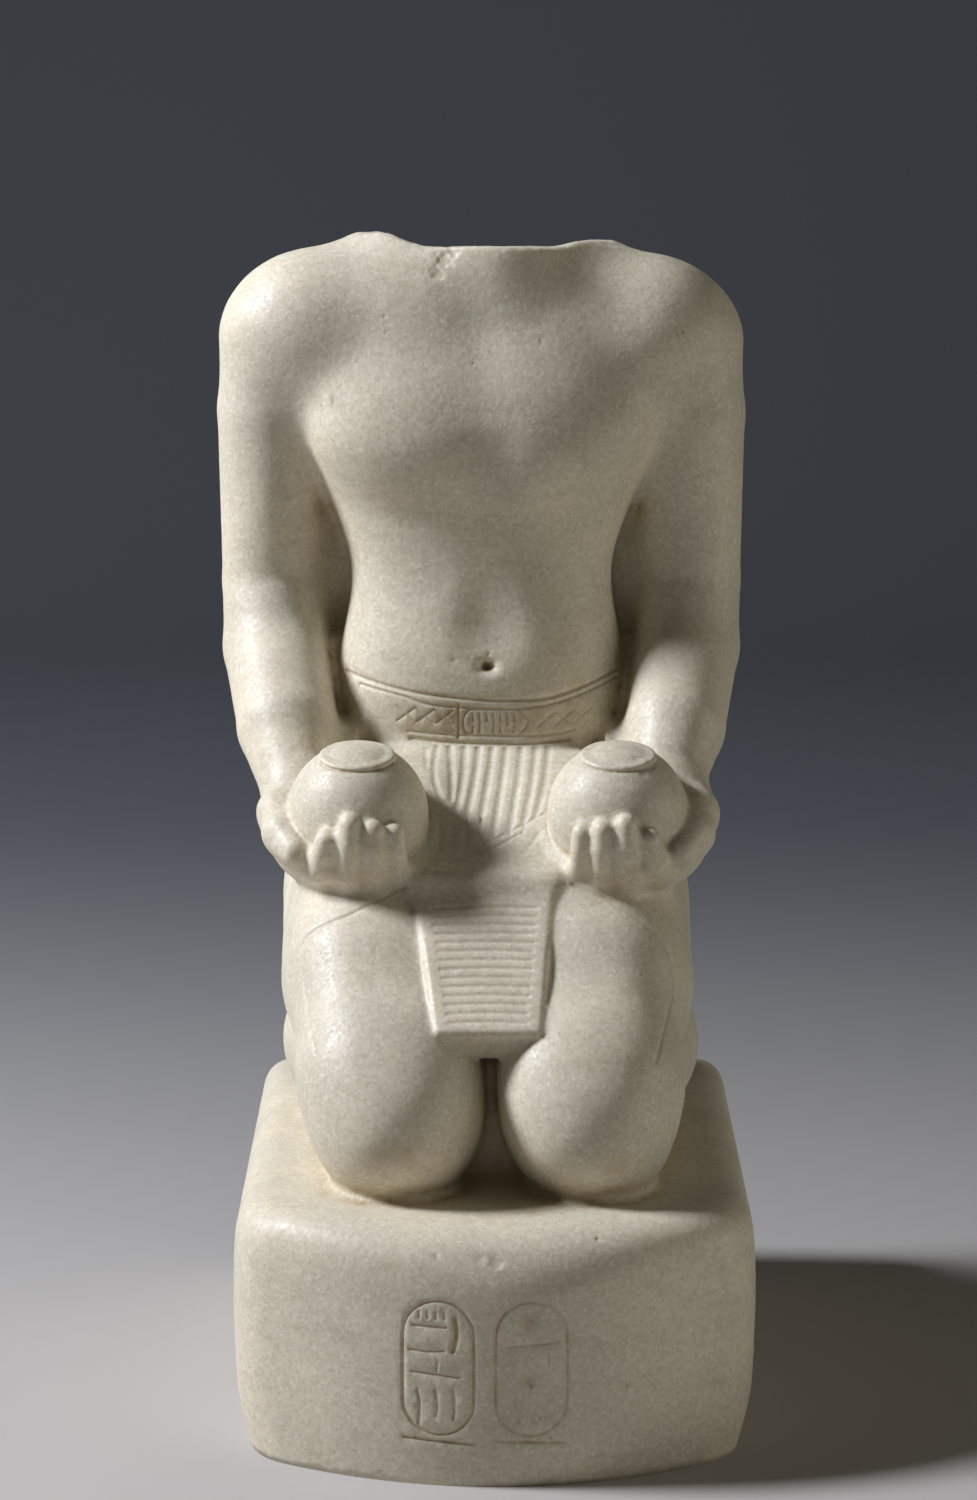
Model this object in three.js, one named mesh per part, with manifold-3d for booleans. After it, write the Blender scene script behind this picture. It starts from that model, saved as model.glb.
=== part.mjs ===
// A kneeling king without its head, holding a round offering jar in each hand.
// Figure, jars and plinth are carved from one block of white marble, so the part is one solid.
// Millimetres, +Z up, the figure faces -Y. The origin is the middle of the plinth's underside.
import * as THREE from 'three';
import { edgeTable, triTable } from 'three/addons/objects/MarchingCubes.js';
import { mergeVertices } from 'three/addons/utils/BufferGeometryUtils.js';
import Module from 'manifold-3d';

// Driving dimensions.
const PLINTH_WIDTH = 125; // across the plinth's top
const PLINTH_DEPTH = 186; // front to back, along the middle
const PLINTH_HEIGHT = 62;
const PLINTH_FRONT_BOW = 25; // how far the front swells between its corners
const PLINTH_BACK_BOW = 4;
const PLINTH_CORNER = 9; // rounding of the four upright corners
const PLINTH_EDGE = 9; // rounding of the worn edges
const FIGURE_HEIGHT = 230; // plinth top to the highest point of the broken neck
const JAR_RADIUS = 17.2;
const RIM_RADIUS = 9.4; // flat rim on top of each jar
const RIM_RISE = 1.1; // how far the rim stands out of the ball
const PLEAT_PITCH = 3.4; // pleats of the kilt over the lap
const LINE_PITCH = 2.6; // lines across the apron
const GROOVE = 0.9; // depth of a carved line of the dress
const RING_GROOVE = 1.4; // depth of the lines on the plinth
const RING_WIDTH = 16.8; // the two upright rings on the plinth's front, middle of line to middle of line
const RING_HEIGHT = 33;
const RING_FOOT = 13; // plinth underside to the foot of a ring
const RING_PLACES = [-13.5, 8.6]; // middles of the rings across the front

// The figure is drawn for this height, and scaled by FIGURE_HEIGHT over it.
const DRAWN_HEIGHT = 230;
const SCALE = FIGURE_HEIGHT / DRAWN_HEIGHT;

// Surface sampling.
const CELL = 1.6; // edge of a sampling cube
const BLOCK = 8; // cubes along the edge of a block that is skipped when no surface is near
const TRIANGLES = 7600; // the faceted solid's budget
const SAW = 5; // the block is carved this far below its underside, and sawn off there

// Small helpers. Each shape below is a function of a point that gives its distance to the shape's surface,
// negative inside.
const clamp = (v, low, high) => Math.min(high, Math.max(low, v));
const step = (low, high, v) => {
  const t = clamp((v - low) / (high - low), 0, 1);
  return t * t * (3 - 2 * t);
};
// Joins two distances with a soft fillet about k wide; blendCut takes the second away from the first.
const blend = (a, b, k) => {
  const h = Math.max(k - Math.abs(a - b), 0) / k;
  return Math.min(a, b) - (h * h * k) / 4;
};
const blendCut = (a, b, k) => -blend(-a, b, k);
const blendMax = (a, b, k) => -blend(-a, -b, k);

// A limb: two balls and the cone between them.
function limb([ax, ay, az], ra, [bx, by, bz], rb) {
  const dx = bx - ax;
  const dy = by - ay;
  const dz = bz - az;
  const length2 = dx * dx + dy * dy + dz * dz;
  const fall = ra - rb;
  const slant2 = length2 - fall * fall;
  return (x, y, z) => {
    const px = x - ax;
    const py = y - ay;
    const pz = z - az;
    const along = px * dx + py * dy + pz * dz;
    const past = along - length2;
    const qx = px * length2 - dx * along;
    const qy = py * length2 - dy * along;
    const qz = pz * length2 - dz * along;
    const across2 = qx * qx + qy * qy + qz * qz;
    const side = Math.sign(fall) * fall * fall * across2;
    const past2 = past * past * length2;
    const along2 = along * along * length2;
    if (Math.sign(past) * slant2 * past2 > side) return Math.sqrt(across2 + past2) / length2 - rb;
    if (Math.sign(along) * slant2 * along2 < side) return Math.sqrt(across2 + along2) / length2 - ra;
    return (Math.sqrt((across2 * slant2) / length2) + along * fall) / length2 - ra;
  };
}

// An egg with three half axes, tipped by a turn about X.
function egg([cx, cy, cz], [rx, ry, rz], tip = 0) {
  const c = Math.cos(tip);
  const s = Math.sin(tip);
  return (x, y, z) => {
    const px = x - cx;
    const py = (y - cy) * c + (z - cz) * s;
    const pz = (z - cz) * c - (y - cy) * s;
    const k0 = Math.hypot(px / rx, py / ry, pz / rz);
    const k1 = Math.hypot(px / (rx * rx), py / (ry * ry), pz / (rz * rz));
    return k1 < 1e-9 ? -Math.min(rx, ry, rz) : (k0 * (k0 - 1)) / k1;
  };
}

// A slab with round edges whose face leans in the Y-Z plane. top and foot are the [y, z] of the upper and lower
// ends of its outer face, and its half width runs from topHalf to footHalf.
function slab(top, foot, topHalf, footHalf, thick, round) {
  const length = Math.hypot(foot[0] - top[0], foot[1] - top[1]);
  const ey = (foot[0] - top[0]) / length;
  const ez = (foot[1] - top[1]) / length;
  return (x, y, z) => {
    const py = y - top[0];
    const pz = z - top[1];
    const down = py * ey + pz * ez;
    const out = py * ez - pz * ey;
    const half = topHalf + (footHalf - topHalf) * clamp(down / length, 0, 1);
    const qx = Math.abs(x) - half + round;
    const qd = Math.abs(down - length / 2) - length / 2 + round;
    const qo = Math.abs(out + thick / 2) - thick / 2 + round;
    return Math.hypot(Math.max(qx, 0), Math.max(qd, 0), Math.max(qo, 0)) + Math.min(Math.max(qx, qd, qo), 0) - round;
  };
}

// Smoothly varying values between the rows of a table whose first column is the height.
function profile(rows) {
  return (z) => {
    let i = 1;
    while (i < rows.length - 1 && z > rows[i][0]) i += 1;
    const low = rows[i - 1];
    const high = rows[i];
    const before = rows[Math.max(i - 2, 0)];
    const after = rows[Math.min(i + 1, rows.length - 1)];
    const span = high[0] - low[0];
    const t = clamp((z - low[0]) / span, 0, 1);
    return low.map((v, c) => {
      const m0 = (span * (high[c] - before[c])) / (high[0] - before[0]);
      const m1 = (span * (after[c] - v)) / (after[0] - low[0]);
      const t2 = t * t;
      const t3 = t2 * t;
      return (2 * t3 - 3 * t2 + 1) * v + (t3 - 2 * t2 + t) * m0 + (3 * t2 - 2 * t3) * high[c] + (t3 - t2) * m1;
    });
  };
}

// The trunk's sections from the hips to the neck: height above the plinth, half width, front, back, squareness.
const trunkAt = profile([
  [70, 42, -6, 50, 2.4],
  [100, 38.5, -8.5, 46, 2.4],
  [113, 37.6, -9, 43.5, 2.35],
  [123, 36.2, -8, 41.5, 2.3],
  [139, 33.2, -4.5, 39, 2.25],
  [148, 33.6, -3.6, 38.6, 2.25],
  [158, 36.8, -4.2, 39.5, 2.25],
  [168, 41, -6, 42, 2.3],
  [178, 45, -6.8, 44, 2.35],
  [188, 46.4, -3.8, 45.4, 2.35],
  [198, 46.5, 0.4, 46, 2.35],
  [208, 44, 4.4, 44.5, 2.3],
  [217, 38, 8, 41, 2.2],
  [224, 31.5, 10, 38, 2.1],
  [231, 27.5, 11, 36, 2],
  [240, 25, 11.5, 35, 2],
]);

function trunk(x, y, z) {
  const [, half, front, back, squareness] = trunkAt(z);
  const middle = (front + back) / 2;
  const deep = (back - front) / 2;
  const u = Math.max(Math.abs(x) / half, 1e-6);
  const v = Math.max(Math.abs(y - middle) / deep, 1e-6);
  const q = (u ** squareness + v ** squareness) ** (1 / squareness);
  const slope = q ** (1 - squareness) * Math.hypot(u ** (squareness - 1) / half, v ** (squareness - 1) / deep);
  return blendMax((q - 1) / slope, Math.max(70 - z, z - 240), 4);
}

// Everything below is drawn for the figure's own +X half, with x counted from its middle.
const chest = egg([15.5, 6.5, 187], [25, 13, 21], -0.3);
const neck = egg([0, 19, 222], [16, 16.5, 40], 0.04);
const NECK_OFF = 4.5; // the neck turns a little to the figure's left
const shoulderBar = limb([16, 21, 213.5], 15, [40, 21, 207.3], 16.4);
const backBlade = egg([22, 40, 194], [15, 7, 18]);
const backFurrow = limb([0, 49, 205], 3, [0, 45, 125], 3);
const frontFurrow = limb([2, -21.5, 172], 12, [2, -17.8, 134], 12);
const shoulder = limb([49.3, 22, 201.8], 16.6, [52, 22.5, 184], 15);
const upperArm = limb([52, 22.5, 184], 15, [53.4, 25, 140], 12.9);
const elbow = limb([53.4, 25, 140], 12.9, [52.4, 18, 124], 13.4);
const forearm = limb([52.4, 18, 124], 13.4, [48.8, -5, 107], 12.4);
const lowerForearm = limb([48.8, -5, 107], 12.4, [45.6, -20, 93.2], 8.6);
const wrist = limb([45.6, -20, 93.2], 8.6, [42.2, -28, 83.5], 9.5);
const armWeb = slab([23, 192], [21, 100], 52, 52, 14, 4);
const navel = egg([1.5, -9, 122.6], [2, 3.4, 1]);

// The hips, legs and apron.
const sideWeb = slab([20, 106], [-16, 72], 46, 44, 44, 8);
const seat = egg([19, 46, 66], [31, 29, 31]);
const LAP_TOP = [13, 101.5];
const LAP_FOOT = [-32, 69];
const lap = slab(LAP_TOP, LAP_FOOT, 33, 34, 58, 9);
const thigh = limb([28, 42, 52], 25.5, [27, -20, 45], 24.2);
const THIGH_X = 24.2;
const thighTop = slab([8, 100], [-71, 28], 23.5, 20.5, 42, 15);
const knee = limb([25, -44, 27], 21.5, [23.5, -52, 18.5], 20.5);
const kneeFoot = limb([24, -45.5, 10], 15, [27, -10, 11], 15.5);
const shin = limb([24.5, -50, 18], 19, [32, 10, 22], 20.5);
const shinFoot = limb([27, -10, 11], 15.5, [33, 38, 11], 16);
const calf = limb([32, 10, 23], 20.5, [28, 54, 26], 12.5);
const sole = slab([77, 3], [72, 54], 11.2, 8.6, 19, 7);
const APRON_TOP = [-27.5, 72.3];
const APRON_FOOT = [-60.5, 41.2];
const APRON_HALF_TOP = 17.8;
const APRON_HALF_FOOT = 13.2;
const apron = slab(APRON_TOP, APRON_FOOT, APRON_HALF_TOP, APRON_HALF_FOOT, 12, 1.6);
const between = slab([-39.1, 59], [-46, -4], 14, 14, 97, 4);

// Toes are bent forward on the plinth under the upright sole.
const SOLE_X = 25;
const TOES = 5;
const TOE_PITCH = 4.6;
const toes = Array.from({ length: TOES }, (_, i) => {
  const x = SOLE_X + (i - (TOES - 1) / 2) * TOE_PITCH;
  const thick = i === 0 ? 3.6 : 2.9;
  return limb([x, 68, 4], thick + 0.6, [x, 49 + i * 1.6, 3], thick);
});

// A jar: a ball with a flat rim, leaning forwards as the palm does.
const JAR = [31.8, -36, 91];
const JAR_LEAN = 0.2;
const HAND_OUT = 1.6; // the hand on the -X side is carved a little further in, the other as far out

function jar(x, y, z) {
  const px = x - JAR[0];
  const py = y - JAR[1];
  const pz = z - JAR[2];
  const up = pz * Math.cos(JAR_LEAN) - py * Math.sin(JAR_LEAN);
  const across = Math.sqrt(Math.max(px * px + py * py + pz * pz - up * up, 0));
  const rimTop = Math.sqrt(JAR_RADIUS ** 2 - RIM_RADIUS ** 2) + RIM_RISE;
  const ball = Math.hypot(across, up) - JAR_RADIUS;
  const rim = blendMax(across - RIM_RADIUS, Math.max(up - rimTop - 0.6 * (1 - (across / RIM_RADIUS) ** 2), -up), 1);
  return Math.min(ball, rim);
}

// Four fingers climb the front of the jar from the palm under it. Each is [outward shift at its tip, outward
// shift at its root, angle of its tip above the jar's middle, thickness].
const FINGERS = [
  [7.2, 11, -0.2, 3],
  [1.5, 2.4, 0.03, 3.1],
  [-4.1, -4.2, -0.05, 3],
  [-9.2, -9.6, -0.12, 2.7],
];
const FINGER_TURNS = 5;
const FINGER_LOW = -1.3; // angle of a finger's root, nearly under the jar
const fingerPoint = ([tipOut, rootOut, tipAngle], t) => {
  const angle = FINGER_LOW + (tipAngle - FINGER_LOW) * t;
  const out = rootOut + (tipOut - rootOut) * t;
  const ring = Math.sqrt((JAR_RADIUS + 1 + 0.5 * t) ** 2 - out * out);
  return [JAR[0] + out, JAR[1] - ring * Math.cos(angle), JAR[2] + ring * Math.sin(angle)];
};
const fingers = FINGERS.map((finger) =>
  Array.from({ length: FINGER_TURNS }, (_, i) =>
    limb(
      fingerPoint(finger, i / FINGER_TURNS),
      finger[3],
      fingerPoint(finger, (i + 1) / FINGER_TURNS),
      finger[3] * (i === FINGER_TURNS - 1 ? 0.88 : 1),
    ),
  ),
);
const THUMB = [
  limb([47.2, -18, 93], 6.2, [51, -30, 90], 5.5),
  limb([51, -30, 90], 5.5, [50.4, -39, 86.7], 4.6),
  limb([50.4, -39, 86.7], 4.6, [47.1, -46.3, 83.5], 3.5),
];
const palm = egg([JAR[0] + 2, JAR[1] + 1, JAR[2] - 2], [JAR_RADIUS + 3.2, JAR_RADIUS + 2.6, JAR_RADIUS + 1.4]);

function hand(x, y, z) {
  const brim = z - JAR[2] + 12 - 0.5 * Math.max(y - JAR[1] + 12, 0);
  let d = blendMax(palm(x, y, z), brim, 3);
  d = blend(d, wrist(x, y, z), 9);
  let grip = Infinity;
  for (const finger of fingers) {
    let one = Infinity;
    for (const piece of finger) one = Math.min(one, piece(x, y, z));
    grip = blend(grip, one, 0.8);
  }
  d = blend(d, grip, 2.5);
  let outer = Infinity;
  for (const part of THUMB) outer = blend(outer, part(x, y, z), 2);
  return blend(d, outer, 3.5);
}

// The upper body leans a little to -X over the knees, as the carver left it.
const LEAN = 3.3;
const SHOULDER_DROP = 1.5; // the +X shoulder sits a little lower
const middleAt = (z) => -LEAN * step(-20, 105, z);

// The neck is broken off: the break sinks to the middle and rises to the shoulders.
function neckBreak(x, y, z) {
  const rise = 4 * step(12, 27, -x) + 2 * step(17, 27, x) - 0.09 * (y - 6);
  return z - (226.4 + rise);
}

// The trunk, arms and jars are drawn in a frame of their own, a little larger and set back over the thighs.
const UPPER_SCALE = 1.0185;
const UPPER_BACK = 20.2;
const UPPER_DROP = 5.45;

function upperTrunk(xm, y, z) {
  const x = Math.abs(xm);
  const soft = Math.hypot(xm, 5.5); // keeps the two halves from meeting in a crease
  let body = trunk(xm, y, z);
  body = blend(body, chest(soft, y, z), 11);
  body = blend(body, backBlade(x, y, z), 10);
  body = blend(body, neck(xm - NECK_OFF, y, z), 5);
  body = blend(body, shoulderBar(soft, y, z), 16);
  body = blendCut(body, backFurrow(x, y, z), 8);
  body = blendCut(body, frontFurrow(xm, y, z), 6);
  return blend(body, Math.max(armWeb(x, y, z), 30 - x), 3);
}

function upperArms(x, y, z) {
  let arm = blend(shoulder(x, y, z), upperArm(x, y, z), 1.2);
  arm = blend(arm, elbow(x, y, z), 1.6);
  arm = blend(arm, forearm(x, y, z), 3.2);
  return blend(arm, lowerForearm(x, y, z), 1.6);
}

function legs(x, y, z) {
  let leg = blend(thigh(x, y, z), knee(x, y, z), 8);
  leg = blend(leg, thighTop(x - THIGH_X, y, z), 8);
  leg = blend(leg, blend(shin(x, y, z), calf(x, y, z), 4), 3);
  leg = blend(leg, kneeFoot(x, y, z), 8);
  leg = blend(leg, shinFoot(x, y, z), 6);
  let foot = sole(x - SOLE_X, y, z);
  for (const toe of toes) foot = blend(foot, toe(x, y, z), 1.5);
  leg = blend(leg, foot, 6);
  return blend(leg, between(x, y, z), 4);
}

function figure(x0, y, z) {
  const xm = x0 - middleAt(z);
  const x = Math.abs(xm);
  const yu = (y - UPPER_BACK) / UPPER_SCALE;
  const zu = (z + UPPER_DROP) / UPPER_SCALE;
  const xu = x0 / UPPER_SCALE - middleAt(zu);
  const zs = zu + SHOULDER_DROP * step(170, 205, zu) * step(0, 45, xu);
  let body = UPPER_SCALE * upperTrunk(xu, yu, zs);
  body = blend(body, seat(x, y, z), 14);
  body = blend(body, lap(x, y, z), 5);
  body = blend(body, Math.max(sideWeb(x, y, z), 32 - x), 6);
  body = blend(body, UPPER_SCALE * upperArms(Math.abs(xu), yu, zs), 5 + 11 * step(172, 205, z));
  body = blend(body, legs(x, y, z), 6);
  body = blend(body, apron(xm, y, z), 1.5 + 9 * step(66, 78, z));
  if (zu < 125 && yu < 5) {
    const xh = Math.abs(xu) + (xu < 0 ? HAND_OUT : -HAND_OUT) * step(20, -20, yu);
    body = blend(body, UPPER_SCALE * hand(xh, yu, zu), 3);
    body = blend(body, UPPER_SCALE * jar(xh, yu, zu), 1);
  }
  body = blendCut(body, UPPER_SCALE * navel(xu, yu, zu), 2.5);
  return blendMax(body, UPPER_SCALE * neckBreak(xu, yu, zu), 1.2);
}

// The plinth: an oblong block with a bowed front, whose sides swell a little and draw in to its foot.
const plinthSwell = profile([
  [-10, -7],
  [0, -3],
  [5, -1.4],
  [13, 0.4],
  [30, 1.3],
  [48, 1.2],
  [62, 0],
  [70, 0],
]);

function plinth(x, y, z) {
  const swell = plinthSwell((z * 62) / PLINTH_HEIGHT)[1];
  const half = PLINTH_WIDTH / 2 + swell;
  const reach = PLINTH_DEPTH / 2 + swell * 0.3;
  const bow = PLINTH_FRONT_BOW * (x / (PLINTH_WIDTH / 2)) ** 2;
  const slope = (2 * PLINTH_FRONT_BOW * x) / (PLINTH_WIDTH / 2) ** 2;
  const front = (-y - reach + bow) / Math.hypot(1, slope);
  const back = y - reach + PLINTH_BACK_BOW * (x / (PLINTH_WIDTH / 2)) ** 2;
  const plan = blendMax(blendMax(Math.abs(x) - half, front, PLINTH_CORNER), back, PLINTH_CORNER);
  const worn = PLINTH_EDGE * (1 + Math.exp(-((x / 34) ** 2) - ((y + reach) / 30) ** 2));
  return blendMax(blendMax(plan, z - PLINTH_HEIGHT, worn), -SAW - z, PLINTH_EDGE / 3);
}

function statue(x, y, z) {
  const up = z - PLINTH_HEIGHT;
  const block = plinth(x, y, z);
  if (up < -20) return block;
  return blend(block, SCALE * figure(x / SCALE, y / SCALE, Math.max(up, -1) / SCALE), 4);
}

// The surface where a distance is nought. Cubes are marched block by block, starting from the blocks near the
// surface and spreading to each neighbour that the surface runs into.
function surface(distance, low, high) {
  const blockCount = low.map((v, i) => Math.ceil((high[i] - v) / CELL / BLOCK));
  const [nx, ny, nz] = blockCount.map((n) => n * BLOCK + 1);
  const values = new Float64Array(nx * ny * nz).fill(NaN);
  const valueAt = (i, j, k) => {
    const n = i + nx * (j + ny * k);
    if (Number.isNaN(values[n])) values[n] = distance(low[0] + i * CELL, low[1] + j * CELL, low[2] + k * CELL);
    return values[n];
  };
  // The eight corners of a cube and the twelve edges between them, in the order of the tables.
  const corners = [[0, 0, 0], [1, 0, 0], [1, 1, 0], [0, 1, 0], [0, 0, 1], [1, 0, 1], [1, 1, 1], [0, 1, 1]];
  const edges = [[0, 1], [1, 2], [2, 3], [3, 0], [4, 5], [5, 6], [6, 7], [7, 4], [0, 4], [1, 5], [2, 6], [3, 7]];
  const points = [];
  const faces = [];
  const known = new Map();
  const value = new Float64Array(8);
  const onEdge = new Int32Array(12);

  const crossing = (i, j, k, e) => {
    const [a, b] = edges[e];
    const from = corners[a];
    const to = corners[b];
    const first = [i, j, k].map((n, c) => n + Math.min(from[c], to[c]));
    const way = from.findIndex((n, c) => n !== to[c]);
    const key = (first[0] + nx * (first[1] + ny * first[2])) * 3 + way;
    if (!known.has(key)) {
      const t = clamp(value[a] / (value[a] - value[b]), 0.02, 0.98);
      known.set(key, points.length);
      points.push([i, j, k].map((n, c) => low[c] + CELL * (n + from[c] + (to[c] - from[c]) * t)));
    }
    return known.get(key);
  };

  const cube = (i, j, k) => {
    let inside = 0;
    corners.forEach(([a, b, c], n) => {
      value[n] = valueAt(i + a, j + b, k + c);
      if (value[n] < 0) inside |= 1 << n;
    });
    if (!edgeTable[inside]) return false;
    edges.forEach((_, e) => {
      if (edgeTable[inside] & (1 << e)) onEdge[e] = crossing(i, j, k, e);
    });
    for (let n = inside * 16; triTable[n] !== -1; n += 3) {
      faces.push([onEdge[triTable[n]], onEdge[triTable[n + 2]], onEdge[triTable[n + 1]]]);
    }
    return true;
  };

  const seen = new Set();
  const waiting = [];
  const visit = (block) => {
    const key = block.join();
    if (seen.has(key) || block.some((n, c) => n < 0 || n >= blockCount[c])) return;
    seen.add(key);
    waiting.push(block);
  };
  for (let k = 0; k < blockCount[2]; k += 1) {
    for (let j = 0; j < blockCount[1]; j += 1) {
      for (let i = 0; i < blockCount[0]; i += 1) {
        const centre = [i, j, k].map((n, c) => low[c] + (n + 0.5) * BLOCK * CELL);
        if (Math.abs(distance(...centre)) < BLOCK * CELL * 0.5) visit([i, j, k]);
      }
    }
  }
  while (waiting.length) {
    const block = waiting.pop();
    for (let n = 0; n < BLOCK ** 3; n += 1) {
      const within = [n % BLOCK, Math.floor(n / BLOCK) % BLOCK, Math.floor(n / BLOCK ** 2)];
      if (!cube(...block.map((b, c) => b * BLOCK + within[c]))) continue;
      within.forEach((w, c) => {
        if (w === 0) visit(block.map((b, d) => b - (c === d)));
        if (w === BLOCK - 1) visit(block.map((b, d) => b + (c === d)));
      });
    }
  }
  return { points, faces };
}

// Fewer triangles with the least loss of form: the edge whose collapse strays least from the planes of the faces
// around it goes first.
function simplify({ points, faces }, budget) {
  const EVEN = 2e-5; // how strongly long edges are spared
  const TIE = 1e-3; // share of the pull to the edge's middle, which settles flat places
  const quadric = new Float64Array(points.length * 10);
  const around = points.map(() => []);
  const stamp = new Int32Array(points.length);
  const alive = new Uint8Array(faces.length).fill(1);
  let left = faces.length;

  const normal = (a, b, c) => {
    const ux = b[0] - a[0];
    const uy = b[1] - a[1];
    const uz = b[2] - a[2];
    const vx = c[0] - a[0];
    const vy = c[1] - a[1];
    const vz = c[2] - a[2];
    return [uy * vz - uz * vy, uz * vx - ux * vz, ux * vy - uy * vx];
  };
  faces.forEach((face, f) => {
    const n = normal(...face.map((v) => points[v]));
    const twiceArea = Math.hypot(...n) || 1e-12;
    const [x, y, z] = n.map((c) => c / twiceArea);
    const p = points[face[0]];
    const d = -(x * p[0] + y * p[1] + z * p[2]);
    const terms = [x * x, x * y, x * z, x * d, y * y, y * z, y * d, z * z, z * d, d * d];
    for (const v of face) {
      around[v].push(f);
      terms.forEach((t, i) => {
        quadric[v * 10 + i] += (t * twiceArea) / 6;
      });
    }
  });

  // The best place for the vertex that an edge shrinks to, and the cost of putting it there.
  const q = new Float64Array(10);
  const plan = (a, b) => {
    for (let i = 0; i < 10; i += 1) q[i] = quadric[a * 10 + i] + quadric[b * 10 + i];
    const pa = points[a];
    const pb = points[b];
    const mx = (pa[0] + pb[0]) / 2;
    const my = (pa[1] + pb[1]) / 2;
    const mz = (pa[2] + pb[2]) / 2;
    const tie = TIE * (q[0] + q[4] + q[7]) + 1e-12;
    const xx = q[0] + tie;
    const yy = q[4] + tie;
    const zz = q[7] + tie;
    const bx = tie * mx - q[3];
    const by = tie * my - q[6];
    const bz = tie * mz - q[8];
    const c0 = yy * zz - q[5] * q[5];
    const c1 = q[5] * q[2] - q[1] * zz;
    const c2 = q[1] * q[5] - yy * q[2];
    const det = xx * c0 + q[1] * c1 + q[2] * c2;
    const x = (bx * c0 + by * c1 + bz * c2) / det;
    const y = (bx * c1 + by * (xx * zz - q[2] * q[2]) + bz * (q[1] * q[2] - xx * q[5])) / det;
    const z = (bx * c2 + by * (q[1] * q[2] - xx * q[5]) + bz * (xx * yy - q[1] * q[1])) / det;
    const straying =
      x * (q[0] * x + 2 * (q[1] * y + q[2] * z + q[3])) +
      y * (q[4] * y + 2 * (q[5] * z + q[6])) +
      z * (q[7] * z + 2 * q[8]) +
      q[9];
    const length2 = (pa[0] - pb[0]) ** 2 + (pa[1] - pb[1]) ** 2 + (pa[2] - pb[2]) ** 2;
    return { a, b, cost: Math.max(straying, 0) + EVEN * length2 * length2, place: [x, y, z] };
  };

  // A heap that gives the cheapest edge first. An entry is out of date when either end has changed since.
  const heap = [];
  const push = (a, b) => {
    const entry = plan(a, b);
    entry.stamp = stamp[a] + stamp[b];
    let n = heap.length;
    heap.push(entry);
    while (n > 0) {
      const parent = (n - 1) >> 1;
      if (heap[parent].cost <= entry.cost) break;
      heap[n] = heap[parent];
      n = parent;
    }
    heap[n] = entry;
  };
  const pop = () => {
    const top = heap[0];
    const last = heap.pop();
    if (!heap.length) return top;
    let n = 0;
    for (;;) {
      let child = 2 * n + 1;
      if (child >= heap.length) break;
      if (child + 1 < heap.length && heap[child + 1].cost < heap[child].cost) child += 1;
      if (heap[child].cost >= last.cost) break;
      heap[n] = heap[child];
      n = child;
    }
    heap[n] = last;
    return top;
  };

  const neighbours = (v) => {
    const found = new Set();
    for (const f of around[v]) for (const w of faces[f]) if (w !== v) found.add(w);
    return found;
  };
  // Whether moving v to a place turns one of its faces over, or thins it to a needle. Faces that also hold other
  // vanish, so they don't count.
  const spoils = (v, other, place) =>
    around[v].some((f) => {
      const face = faces[f];
      if (face.includes(other)) return false;
      const before = normal(...face.map((w) => points[w]));
      const moved = face.map((w) => (w === v ? place : points[w]));
      const after = normal(...moved);
      const sizeAfter = Math.hypot(...after);
      const dot = before[0] * after[0] + before[1] * after[1] + before[2] * after[2];
      if (dot < 0.3 * Math.hypot(...before) * sizeAfter) return true;
      const longest = Math.max(
        ...moved.map((p, i) => Math.hypot(...p.map((c, d) => c - moved[(i + 1) % 3][d]))),
      );
      return sizeAfter < 0.04 * longest * longest;
    });

  for (const [a, b, c] of faces) {
    if (a < b) push(a, b);
    if (b < c) push(b, c);
    if (c < a) push(c, a);
  }
  while (left > budget && heap.length) {
    const { a, b, place, stamp: made } = pop();
    if (stamp[a] < 0 || stamp[b] < 0 || stamp[a] + stamp[b] !== made) continue;
    const near = neighbours(a);
    const shared = [...neighbours(b)].filter((v) => near.has(v));
    if (shared.length !== 2 || spoils(a, b, place) || spoils(b, a, place)) continue;
    points[a] = place;
    for (let i = 0; i < 10; i += 1) quadric[a * 10 + i] += quadric[b * 10 + i];
    for (const f of around[b]) {
      const face = faces[f];
      if (face.includes(a)) {
        alive[f] = 0;
        left -= 1;
        for (const v of face) if (v !== b) around[v] = around[v].filter((g) => g !== f);
      } else {
        face[face.indexOf(b)] = a;
        around[a].push(f);
      }
    }
    around[b] = [];
    stamp[b] = -1;
    stamp[a] += 1;
    for (const v of neighbours(a)) push(a, v);
  }

  const renamed = new Map();
  const kept = [];
  const index = faces
    .filter((_, f) => alive[f])
    .flat()
    .map((v) => {
      if (!renamed.has(v)) {
        renamed.set(v, kept.length);
        kept.push(points[v]);
      }
      return renamed.get(v);
    });
  return { vertices: new Float32Array(kept.flat()), triangles: new Uint32Array(index) };
}

const wasm = await Module();
wasm.setup();

// A solid that can be cut and joined, from a closed three.js geometry.
function solidOf(geometry) {
  const bare = geometry.clone();
  bare.deleteAttribute('normal');
  bare.deleteAttribute('uv');
  const merged = mergeVertices(bare);
  return new wasm.Manifold(
    new wasm.Mesh({
      numProp: 3,
      vertProperties: new Float32Array(merged.attributes.position.array),
      triVerts: new Uint32Array(merged.index.array),
    }),
  );
}

function geometryOf(solid) {
  const { vertProperties, triVerts } = solid.getMesh();
  const geometry = new THREE.BufferGeometry();
  geometry.setAttribute('position', new THREE.BufferAttribute(vertProperties, 3));
  geometry.setIndex(new THREE.BufferAttribute(triVerts, 1));
  geometry.computeVertexNormals();
  return geometry;
}

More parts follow.
